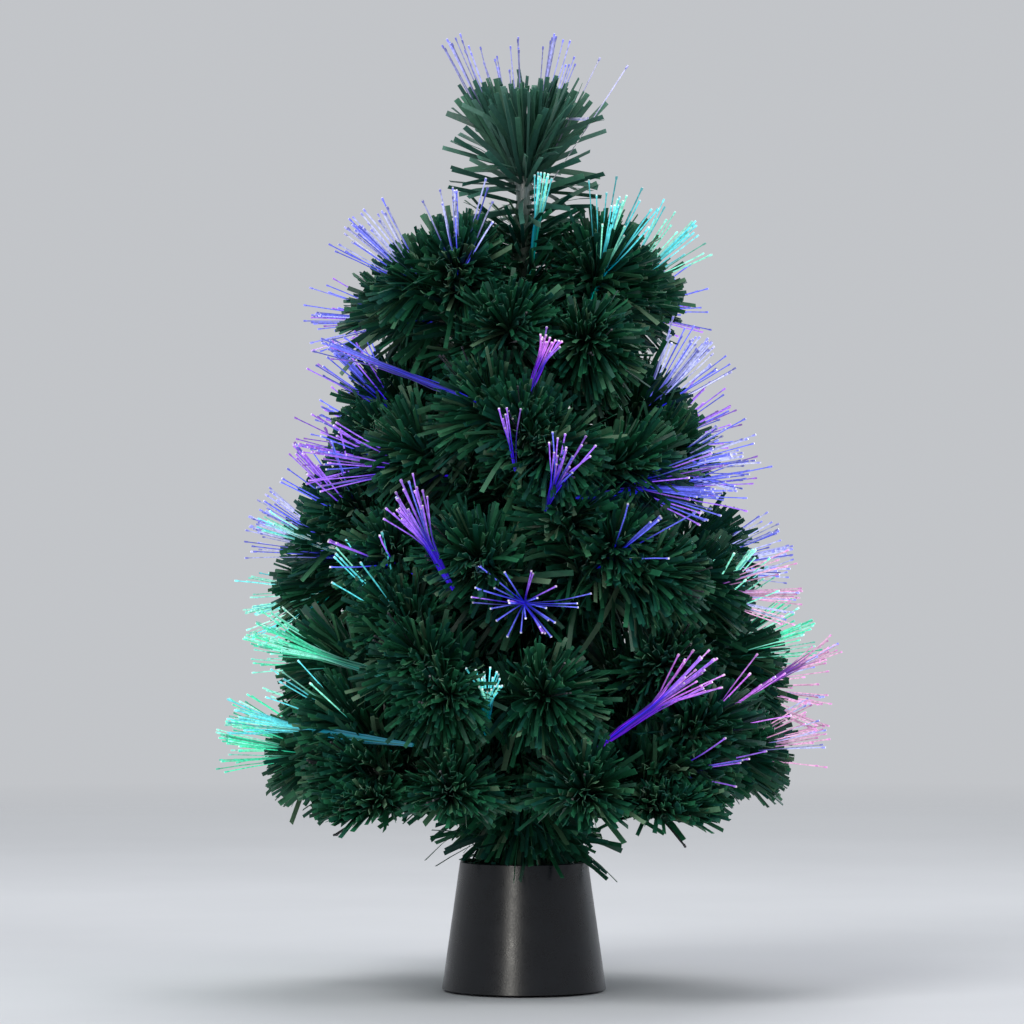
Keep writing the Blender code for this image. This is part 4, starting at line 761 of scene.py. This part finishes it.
def joined(name, shapes):
    """One mesh from several lists of points and faces, smooth on the walls."""
    points, faces = [], []
    for some_points, some_faces in shapes:
        first = len(points)
        points += some_points.tolist()
        faces += [[first + k for k in face] for face in some_faces]
    mesh = bpy.data.meshes.new(name)
    mesh.from_pydata(points, [], faces)
    mesh.polygons.foreach_set("use_smooth", np.array([len(face) == 4 for face in faces]))
    return mesh


bound_green, tree, shader = new_material("bound_green", Roughness=0.6)
fibrous = noise(tree, place(tree), 900, 4)
paint(tree, shader, Base_Color=ramp(tree, fibrous, BOUND_TONES))
bump(tree, shader, fibrous, 0.5, 0.0003)

for number, rows in enumerate(branches, 1):
    shapes = []
    for place_in_branch, (root, way, length) in enumerate(rows):
        start, thick, thin = TWIG_STEM if place_in_branch else MAIN_STEM
        shapes.append(twisted_stem(root, way, start, length, thick, thin))
    stems = joined(f"branch_{number}_stems", shapes)
    dress_branch(number, stems, bound_green, "green_needles")
print("stems:", 5 * len(branches))

# %% The tape-bound sleeve under the crown
SLEEVE_FOOT = 0.3999
SLEEVE_TOP = 0.4891
SLEEVE_RADII = (0.0058, 0.0070)
SLEEVE_LAP = 0.006


def ringed_tube(name, low, high, inner, outer, lap, sides=32):
    """A closed tube whose outside steps in by 0.4 mm at each lap of its tape.

    radius(z) = outer - 0.0004·fraction((z - low)/lap) outside, and inner inside.
    """
    turns = int((high - low) / lap)
    z = np.repeat(low + (high - low) * np.arange(turns + 1) / turns, 2)[1:-1]
    out = outer - np.tile((0.0, 0.0004), turns)
    profile = np.array([(inner, high), (inner, low)] + list(zip(out, z)))
    a = np.arange(sides) * 2 * math.pi / sides
    ring = np.stack([np.cos(a), np.sin(a)], -1)
    radii, heights = profile[:, None, :1], profile[:, None, 1:]
    heights = np.broadcast_to(heights, (len(profile), sides, 1))
    points = np.concatenate([radii * ring, heights], -1)
    return quad_mesh(name, points.reshape(-1, 3), tube_faces(len(profile), sides, closed=True))


sleeve_tube = ringed_tube("crown_sleeve", SLEEVE_FOOT, SLEEVE_TOP, *SLEEVE_RADII, SLEEVE_LAP)
dress("crown_sleeve", sleeve_tube, bound_green, "tree", "green_tape", "crown_sprig")
print("crown sleeve faces:", len(sleeve_tube.polygons))

# %% [markdown]
# ## Lit fibres
# The lamp shines into the foot of the fibre bundle through the wheel, so each fibre
# carries one colour to its polished end. Close to the stem many lie together and glow
# deep blue, violet or teal. Towards the ends they part, the light looks whiter, and the
# very end is a bright bead. A fibre is a strand like a needle, but square, thin, and
# fanned: it runs with the twig and then bends away by its own angle. Its place in the
# map says which colour it carries.

# %% Colours of the light
# Each light: the one mixed in with it, then its colours at the stem, further out and in
# the bead at the end.
LIGHTS = {
    "unlit": ("unlit", grey(0), grey(0), grey(0)),
    "pale": ("pale", (0.12, 0.13, 0.20), (0.34, 0.36, 0.84), (0.22, 0.24, 0.95)),
    "blue": ("violet", (0.006, 0.008, 0.50), (0.13, 0.16, 1.0), (0.20, 0.22, 1.0)),
    "violet": ("blue", (0.03, 0.006, 0.64), (0.36, 0.15, 1.0), (0.48, 0.20, 1.0)),
    "pink": ("violet", (0.14, 0.01, 0.74), (0.62, 0.18, 0.95), (0.80, 0.28, 1.0)),
    "rose": ("white", (0.18, 0.03, 0.42), (0.80, 0.42, 0.68), (0.85, 0.34, 0.78)),
    "white": ("blue", (0.06, 0.07, 0.66), (0.50, 0.54, 1.0), (0.28, 0.30, 1.0)),
    "cyan": ("mint", (0.0, 0.12, 0.18), (0.10, 0.76, 0.84), (0.20, 0.90, 1.0)),
    "green": ("mint", (0.0, 0.11, 0.07), (0.05, 0.80, 0.44), (0.10, 0.90, 0.60)),
    "mint": ("cyan", (0.0, 0.15, 0.12), (0.26, 0.92, 0.70), (0.30, 1.0, 0.82)),
}
LIGHT_NAMES = list(LIGHTS)
END_WHITENESS = 0.72
lit_fibre, tree, shader = new_material("lit_fibre", Roughness=0.25, Emission_Strength=1.25)
shader.inputs["Base Color"].default_value = (0.03, 0.03, 0.035, 1)
code, along = strand_map(tree)
steps = [k / len(LIGHTS) for k in range(len(LIGHTS))]
columns = list(zip(*LIGHTS.values()))[1:]
near_stem, further_out, in_bead = (
    ramp(tree, code, list(zip(steps, column)), "CONSTANT") for column in columns
)
spread = ramp(tree, along, [(0.52, grey(0)), (0.84, grey(1))], "EASE")
bead = ramp(tree, along, [(0.970, grey(0)), (0.985, grey(1))])
cap = ramp(tree, along, [(0.9985, grey(0)), (0.9995, grey(1))])
lit = calc(tree, "GREATER_THAN", code, 1 / len(LIGHTS))
colour = mix(tree, spread, near_stem, further_out)
colour = mix(tree, bead, colour, in_bead)
whitened = mix(tree, END_WHITENESS, colour, (1, 1, 1, 1))
end_on = calc(tree, "MULTIPLY", cap, lit)
colour = mix(tree, end_on, colour, whitened)
sparkle = ramp(tree, noise(tree, place(tree), 500, 1), [(0.38, grey(0.62)), (0.60, grey(1))])
own_number = calc(tree, "FRACT", calc(tree, "MULTIPLY", code, float(len(LIGHTS))))
fullness = ramp(tree, own_number, [(0.2, grey(0.42)), (0.45, grey(0.75)), (0.8, grey(1.15))])
sparkle = mix(tree, 1.0, sparkle, fullness, "MULTIPLY")
dim = ramp(tree, own_number, [(0.2, grey(0.18)), (0.55, grey(0.5)), (0.8, grey(1.0))])
colour = mix(tree, 1.0, colour, mix(tree, spread, dim, sparkle), "MULTIPLY")
paint(tree, shader, Emission_Color=colour)
lit_fibre.cycles.emission_sampling = "NONE"
print("colours of the light:", ", ".join(LIGHTS))

# %% [markdown]
# ## Which tuft shows which colour
# The wheel was half turned when the picture was taken, so blue and violet stand above
# and green below on the left, with pink and mint mixed in on the right. The table names
# the colour and the number of fibres for each branch: first its own end, then its four
# twigs. The back follows the same order, seen from behind.

# %% Tuft table
DARK = ("unlit", 3)
TUFTS = (
    (("violet", 8), ("rose", 14), DARK, ("rose", 22), DARK),
    (("green", 16), ("cyan", 12), ("green", 20), DARK, ("mint", 26)),
    (DARK, ("green", 36), DARK, ("cyan", 6), DARK),
    (("violet", 6), DARK, ("rose", 14), DARK, ("pink", 8)),
    (("green", 34), DARK, ("blue", 20), ("mint", 20), ("rose", 38)),
    (("cyan", 24), ("violet", 22), ("mint", 18), DARK, ("blue", 22)),
    (DARK, ("green", 32), DARK, ("cyan", 8), DARK),
    (("violet", 26), ("white", 40), ("blue", 26), ("rose", 26), DARK),
    (("white", 44), ("cyan", 20), ("violet", 5), ("mint", 38), ("violet", 24)),
    (("blue", 7), DARK, ("rose", 30), DARK, DARK),
    (("violet", 28), ("white", 36), ("rose", 22), ("white", 44), ("blue", 20)),
    (("blue", 24), ("violet", 26), ("violet", 26), ("blue", 18), ("blue", 28)),
    (DARK, ("violet", 20), ("blue", 30), DARK, DARK),
    (("mint", 26), DARK, ("blue", 20), ("cyan", 20), ("blue", 30)),
    (("white", 36), ("violet", 22), DARK, ("blue", 28), ("white", 15)),
)
print("tufts:", 5 * len(TUFTS), "fibres:", sum(count for row in TUFTS for _, count in row))


# %% Fibre growth
FIBRE_RADIUS = 0.00034
FIBRE_STATIONS = np.array([0.0, 0.25, 0.42, 0.56, 0.70, 0.85, 0.972, 0.982, 1.0])
FIBRE_SWELL = np.array([0.7, 0.7, 0.75, 0.8, 0.9, 1.0, 1.0, 1.7, 1.6])
FIBRE_BEND = 0.016
FIBRE_REACH = (0.046, 0.062)
FIBRE_FAN = math.radians(23)
FIBRE_BACK = 0.045
FIBRE_BACK_SHARE = 0.75
FIBRE_SPLIT = 0.014
FIBRE_SWAY = 0.011
FIBRE_FOOT = 0.030
TIER_SAG = (0.0, 0.0, 0.16, 0.26, 0.20)


def tuft(
    root, way, split, end, light, count, fan=FIBRE_FAN, spread=0.16, thick=0.0018, core=0.45
):
    """Paths and map places of one tuft: a tight core of parallel fibres, and strays.

    A fibre keeps its place in the bundle up to split, then parts from the twig by
    tan(lean)·h(x), where h(x) is x²/(2·bend) up to the bend's length and a straight line
    of slope one after it, so it leaves without a kink. The core's share of them lean by
    nearly the same small angle, the others by up to the whole fan. Each one sways a
    little as sin(s/sway + its own phase), so a bundle looks like hairs and not a rod,
    and the bundle is drawn in to a third of its thickness at its foot.
    """
    ring = thick * np.sqrt(draw.uniform(0, 1, count))
    order = np.arange(count)
    group = np.where(order < core * count, order // 8, order)
    lean = np.abs(fan * np.sqrt((group + 0.6) / (count + 0.6)) + draw.normal(0, 0.035, count))
    turn = group * GOLDEN_TURN + draw.normal(0, 0.15, count)
    x, y = square_axes(way[None])
    outward = np.cos(turn)[:, None] * x + np.sin(turn)[:, None] * y
    finish_at = split + (end - split) * draw.uniform(1 - spread, 1, count) * np.cos(lean)
    s = finish_at[:, None] * FIBRE_STATIONS[None]
    past = np.maximum(s - split, 0)
    parting = np.where(past < FIBRE_BEND, past**2 / (2 * FIBRE_BEND), past - FIBRE_BEND / 2)
    phase = draw.uniform(0, 2 * math.pi, count)[:, None]
    sway = 0.25 * thick * np.sin(s / FIBRE_SWAY + phase)
    gathered = np.clip(0.3 + s / FIBRE_FOOT, 0.3, 1)
    radial = gathered * (ring[:, None] + sway) + np.tan(lean)[:, None] * parting
    path = root + way * s[..., None] + outward[:, None] * radial[..., None]
    own, other = LIGHT_NAMES.index(light), LIGHT_NAMES.index(LIGHTS[light][0])
    carried = np.where(draw.uniform(0, 1, count) < 0.7, own, other)
    tone = (carried + draw.uniform(0.2, 0.8, count)) / len(LIGHTS)
    return path, tone


def tuft_between(begin, end, light, count, fan, closed, *look):
    """A tuft from one point to another, closed for a share of the way."""
    line = np.array(end) - begin
    size = float(np.linalg.norm(line))
    return tuft(begin, line / size, closed * size, size, light, count, math.radians(fan), *look)


def fibre_mesh(name, tufts):
    """One mesh of all the fibres in some tufts: square strands with a bead at the end."""
    path = np.concatenate([paths for paths, _ in tufts])
    tone = np.concatenate([tones for _, tones in tufts])
    first, _ = square_axes(unit(path[:, -1] - path[:, 0]))
    across = np.repeat(first[:, None], path.shape[1], axis=1)
    half = np.tile(FIBRE_RADIUS * FIBRE_SWELL, (len(path), 1))
    return strand_mesh(name, path, across, half, half, tone, FIBRE_STATIONS)


# Bundles that lie on top of the needles: branch, foot, end, light, fibres, fan, and the
# share of the bundle that stays closed. Their feet are drawn in towards the trunk.
LONG_FOOT = (0.9, 0.9, 1.0)
LONG_THICK = 0.0028
LONG_CORE = 0.2
LONG_SPREADS = (0.4, 0.5)
WIDE_FAN = 40
LONG_TUFTS = (
    (10, (0.002, -0.104, 0.246), (-0.006, -0.160, 0.249), "blue", 20, 56, 0.2),
    (10, (0.002, -0.132, 0.246), (0.044, -0.146, 0.247), "blue", 3, 8, 0.2),
    (10, (0.000, -0.132, 0.246), (-0.034, -0.148, 0.252), "blue", 3, 12, 0.2),
    (10, (0.000, -0.132, 0.246), (0.016, -0.150, 0.228), "blue", 4, 14, 0.2),
    (7, (-0.026, -0.095, 0.165), (-0.022, -0.152, 0.206), "cyan", 28, 20, 0.5),
    (4, (0.050, -0.122, 0.158), (0.118, -0.150, 0.214), "pink", 24, 22, 0.4),
    (13, (-0.033, -0.104, 0.370), (-0.130, -0.030, 0.410), "blue", 13, 14, 0.6),
    (9, (-0.115, -0.030, 0.272), (-0.168, -0.020, 0.298), "cyan", 16, 10, 0.4),
    (7, (-0.063, -0.150, 0.194), (-0.163, -0.050, 0.224), "green", 24, 13, 0.6),
    (3, (-0.075, -0.152, 0.161), (-0.186, -0.050, 0.174), "cyan", 24, 9, 0.6),
    (13, (0.035, -0.128, 0.311), (0.149, -0.030, 0.324), "blue", 15, 14, 0.4),
    (10, (-0.047, -0.138, 0.254), (-0.078, -0.154, 0.319), "violet", 30, 22, 0.35),
    (13, (0.014, -0.130, 0.303), (0.030, -0.152, 0.347), "violet", 20, 26, 0.25),
    (13, (-0.006, -0.118, 0.327), (-0.011, -0.134, 0.367), "violet", 6, 22, 0.3),
    (13, (0.003, -0.108, 0.375), (0.017, -0.130, 0.410), "pink", 16, 20, 0.45),
    (5, (0.158, -0.044, 0.190), (0.196, -0.032, 0.220), "rose", 26, 11, 0.35),
)
total = 0
for number, (rows, lights) in enumerate(zip(branches, TUFTS), 1):
    tufts = []
    sag = TIER_SAG[TIER_OF_BRANCH[number - 1]]
    for (root, way, length), (light, count) in zip(rows, lights):
        reach = FIBRE_REACH[1] if light != "unlit" else FIBRE_REACH[0]
        back = min(FIBRE_BACK, FIBRE_BACK_SHARE * length)
        begin = root + way * (length - back)
        aim = unit(way - up * sag)
        tufts.append(tuft(begin, aim, back - FIBRE_SPLIT, back + reach, light, count))
    for branch, begin, end, light, count, fan, closed in LONG_TUFTS:
        if branch == number:
            begin = np.array(begin) * LONG_FOOT
            look = (LONG_SPREADS[fan > WIDE_FAN], LONG_THICK, LONG_CORE)
            tufts.append(tuft_between(begin, end, light, count, fan, closed, *look))
    mesh = fibre_mesh(f"branch_{number}_fibres", tufts)
    total += strand_count(mesh, FIBRE_STATIONS)
    dress_branch(number, mesh, lit_fibre, "clear_fibre")
print("fibres on the branches:", total)

# %% Crown fibres
CROWN_CLOSED = 0.3
CROWN_SPREAD = 0.12
CLEAR_TONES = [(0.3, (0.10, 0.14, 0.12)), (0.7, (0.34, 0.40, 0.36))]
# Each row: foot, end, light, fibres, fan.
CROWN_TUFTS = (
    ((0, 0, 0.5), (-0.048, -0.012, 0.600), "pale", 14, 6),
    ((0, 0, 0.5), (-0.036, 0.010, 0.600), "pale", 4, 5),
    ((0, 0, 0.5), (-0.004, -0.022, 0.600), "pale", 5, 6),
    ((0, 0, 0.5), (0.020, -0.018, 0.602), "pale", 9, 7),
    ((0, 0, 0.5), (0.033, 0.020, 0.594), "pale", 4, 5),
    ((0, 0, 0.5), (-0.018, 0.038, 0.594), "pale", 7, 9),
    ((0.004, 0, 0.5), (0.051, -0.002, 0.594), "pale", 1, 1),
    ((0.004, 0, 0.490), (0.066, -0.008, 0.583), "pale", 1, 1),
    ((0.012, -0.010, 0.5495), (0.043, -0.014, 0.5495), "pale", 2, 1),
    ((0.004, -0.010, 0.452), (0.012, -0.044, 0.514), "cyan", 18, 5),
)
look = (CROWN_CLOSED, CROWN_SPREAD)
tufts = [tuft_between(np.array(begin), *rest, *look) for begin, *rest in CROWN_TUFTS]
crown_fibres = fibre_mesh("crown_fibres", tufts)
dress("crown_fibres", crown_fibres, lit_fibre, "tree", "clear_fibre", "crown_sprig")

clear = {"Roughness": 0.3, "Transmission_Weight": 0.35, "IOR": 1.49}
clear_bundle, tree, shader = new_material("clear_bundle", **clear)
strands = noise(tree, place(tree, (1, 1, 0.02)), 1600, 2)
paint(tree, shader, Base_Color=ramp(tree, strands, CLEAR_TONES))
bump(tree, shader, strands, 0.6, 0.0003)
foot = np.array([0.0, 0.0, TRUNK_TOP])
stem_shape = twisted_stem(foot, up, 0.0004, 0.026, 0.0042, 0.0062, 20, 0.03)
crown_stem = joined("crown_stem", [stem_shape])
dress("crown_stem", crown_stem, clear_bundle, "tree", "clear_fibre", "crown_sprig")
print("crown fibres:", sum(row[3] for row in CROWN_TUFTS))

# %% [markdown]
# ## Finishes for the parts that keep their shape
# The pot, the lamp, the wheel and the rest already have their true shape, so they only
# get a material each. The pot is moulded black plastic with a fine satin grain. Metal
# parts are zinc plated, which shows as faint cloudy grain. The wheel is clear film in
# coloured sectors, painted by the angle round its own hub.


# %% Finishes of the fixed parts
WHEEL_CENTRE = (0, -0.0188, 0)
SECTORS = (
    (0.75, 0.06, 0.10), (0.80, 0.30, 0.03), (0.10, 0.55, 0.12),
    (0.04, 0.45, 0.55), (0.05, 0.10, 0.75), (0.55, 0.08, 0.60),
)
TAPE_LAPS = 70.0
TAPE_TONES = [
    (0.0, (0.006, 0.026, 0.014)),
    (0.12, (0.014, 0.055, 0.03)),
    (0.9, (0.02, 0.075, 0.04)),
]


def speckled(
    name, low, high, scale, rough, height=0.0002, strength=0.3, stretch=(1, 1, 1), **values
):
    """A finish whose colour and roughness go from low to high with a noise.

    The noise is half a fine grain and half a grain twelve times as wide. The fine one
    also raises the surface.
    """
    made, tree, shader = new_material(name, **values)
    grain = noise(tree, place(tree, stretch), scale, 3)
    wide = noise(tree, place(tree, stretch), scale / 12, 3)
    blend = add(tree, "Mix", {0: 0.5, 2: grain, 3: wide}).outputs[0]
    colour = ramp(tree, blend, [(0.35, low), (0.65, high)])
    gloss = ramp(tree, blend, [(0.35, grey(rough[0])), (0.65, grey(rough[1]))])
    paint(tree, shader, Base_Color=colour, Roughness=gloss)
    bump(tree, shader, grain, strength, height)
    return made


def by_angle(tree, where):
    """The angle round the upright through the origin, as a share of a full turn."""
    return add(tree, "TexGradient", {0: where}, gradient_type="RADIAL").outputs["Fac"]


clear = {"Roughness": 0.12, "Transmission_Weight": 0.8, "IOR": 1.45}
colour_film, tree, shader = new_material("colour_film", **clear)
angle = by_angle(tree, place(tree, centre=WHEEL_CENTRE))
stops = [(k / len(SECTORS), colour) for k, colour in enumerate(SECTORS)]
paint(tree, shader, Base_Color=ramp(tree, angle, stops, "CONSTANT"))
bump(tree, shader, noise(tree, place(tree), 260, 2), 0.1, 0.0002)

green_tape, tree, shader = new_material("green_tape", Roughness=0.5)
wound = place(tree)
height = add(tree, "SeparateXYZ", {0: wound}).outputs["Z"]
turns = calc(tree, "MULTIPLY_ADD", height, TAPE_LAPS, by_angle(tree, wound))
edge = calc(tree, "FRACT", turns)
paint(tree, shader, Base_Color=ramp(tree, edge, TAPE_TONES))
bump(tree, shader, edge, 0.6, 0.0004)

FINISHES = {
    "black_plastic": speckled(
        "satin_black", (0.006, 0.007, 0.010), (0.010, 0.012, 0.017), 950, (0.25, 0.37),
        0.00007, 0.7, Specular_IOR_Level=0.32,
    ),
    "dark_rubber": speckled(
        "matt_rubber", (0.012, 0.012, 0.012), (0.030, 0.030, 0.029), 1400, (0.70, 0.88)
    ),
    "zinc_steel": speckled(
        "zinc_plate", (0.42, 0.43, 0.45), (0.60, 0.61, 0.62), 900, (0.26, 0.42),
        0.00005, Metallic=1.0,
    ),
    "mirror_glass": speckled(
        "mirror_glass", (0.70, 0.71, 0.74), (0.86, 0.87, 0.90), 500, (0.05, 0.12),
        0.0001, 0.2, Metallic=1.0,
    ),
    "ceramic": speckled(
        "glazed_ceramic", (0.62, 0.60, 0.55), (0.76, 0.74, 0.70), 800, (0.22, 0.40)
    ),
    "colour_film": colour_film,
    "wire_sheath": speckled(
        "black_sheath", (0.010, 0.010, 0.011), (0.022, 0.022, 0.024), 1200, (0.34, 0.48)
    ),
    "red_sheath": speckled(
        "red_sheath", (0.34, 0.015, 0.012), (0.46, 0.030, 0.022), 1200, (0.34, 0.48)
    ),
    "clear_fibre": clear_bundle,
    "green_tape": green_tape,
    "green_wire": speckled(
        "papered_wire", (0.010, 0.040, 0.022), (0.022, 0.078, 0.040), 1500, (0.5, 0.7),
        stretch=(1, 1, 0.3),
    ),
    "green_needles": green_film,
}
SHARP_ABOVE = math.radians(33)
MERGE_DISTANCE = 1e-6
ROUND_PARTS = ["pot_shell", "trunk_socket", "trunk_wrap", "base_plate", "power_inlet"]
ROUND_PARTS += ["trunk_ferrule"] + [f"rubber_foot_{k}" for k in range(1, 5)]


def slot_of(part):
    """The name of the slot that a part has in the frame."""
    return part.material_slots[0].material.name.split(".")[0]


def smooth_copy(name):
    """A copy of a part's mesh with its doubles merged, smooth except at its sharp edges."""
    shape = bmesh.new()
    shape.from_mesh(nodes[name].data)
    bmesh.ops.remove_doubles(shape, verts=shape.verts, dist=MERGE_DISTANCE)
    for face in shape.faces:
        face.smooth = True
    for edge in shape.edges:
        edge.smooth = len(edge.link_faces) == 2 and edge.calc_face_angle() < SHARP_ABOVE
    mesh = bpy.data.meshes.new(name + "_skin")
    shape.to_mesh(mesh)
    shape.free()
    mesh.materials.clear()
    if "custom_normal" in mesh.attributes:
        mesh.attributes.remove(mesh.attributes["custom_normal"])
    return mesh


for name in ROUND_PARTS:
    slot, body = slot_of(nodes[name]), nodes[name]["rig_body"]
    dress(name + "_skin", smooth_copy(name), FINISHES[slot], body, slot, name)
print("smooth copies:", len(ROUND_PARTS))

for part in nodes.values():
    slot = slot_of(part)
    for held in part.material_slots:
        held.material = FINISHES[slot]
print("parts given a finish:", len(nodes))
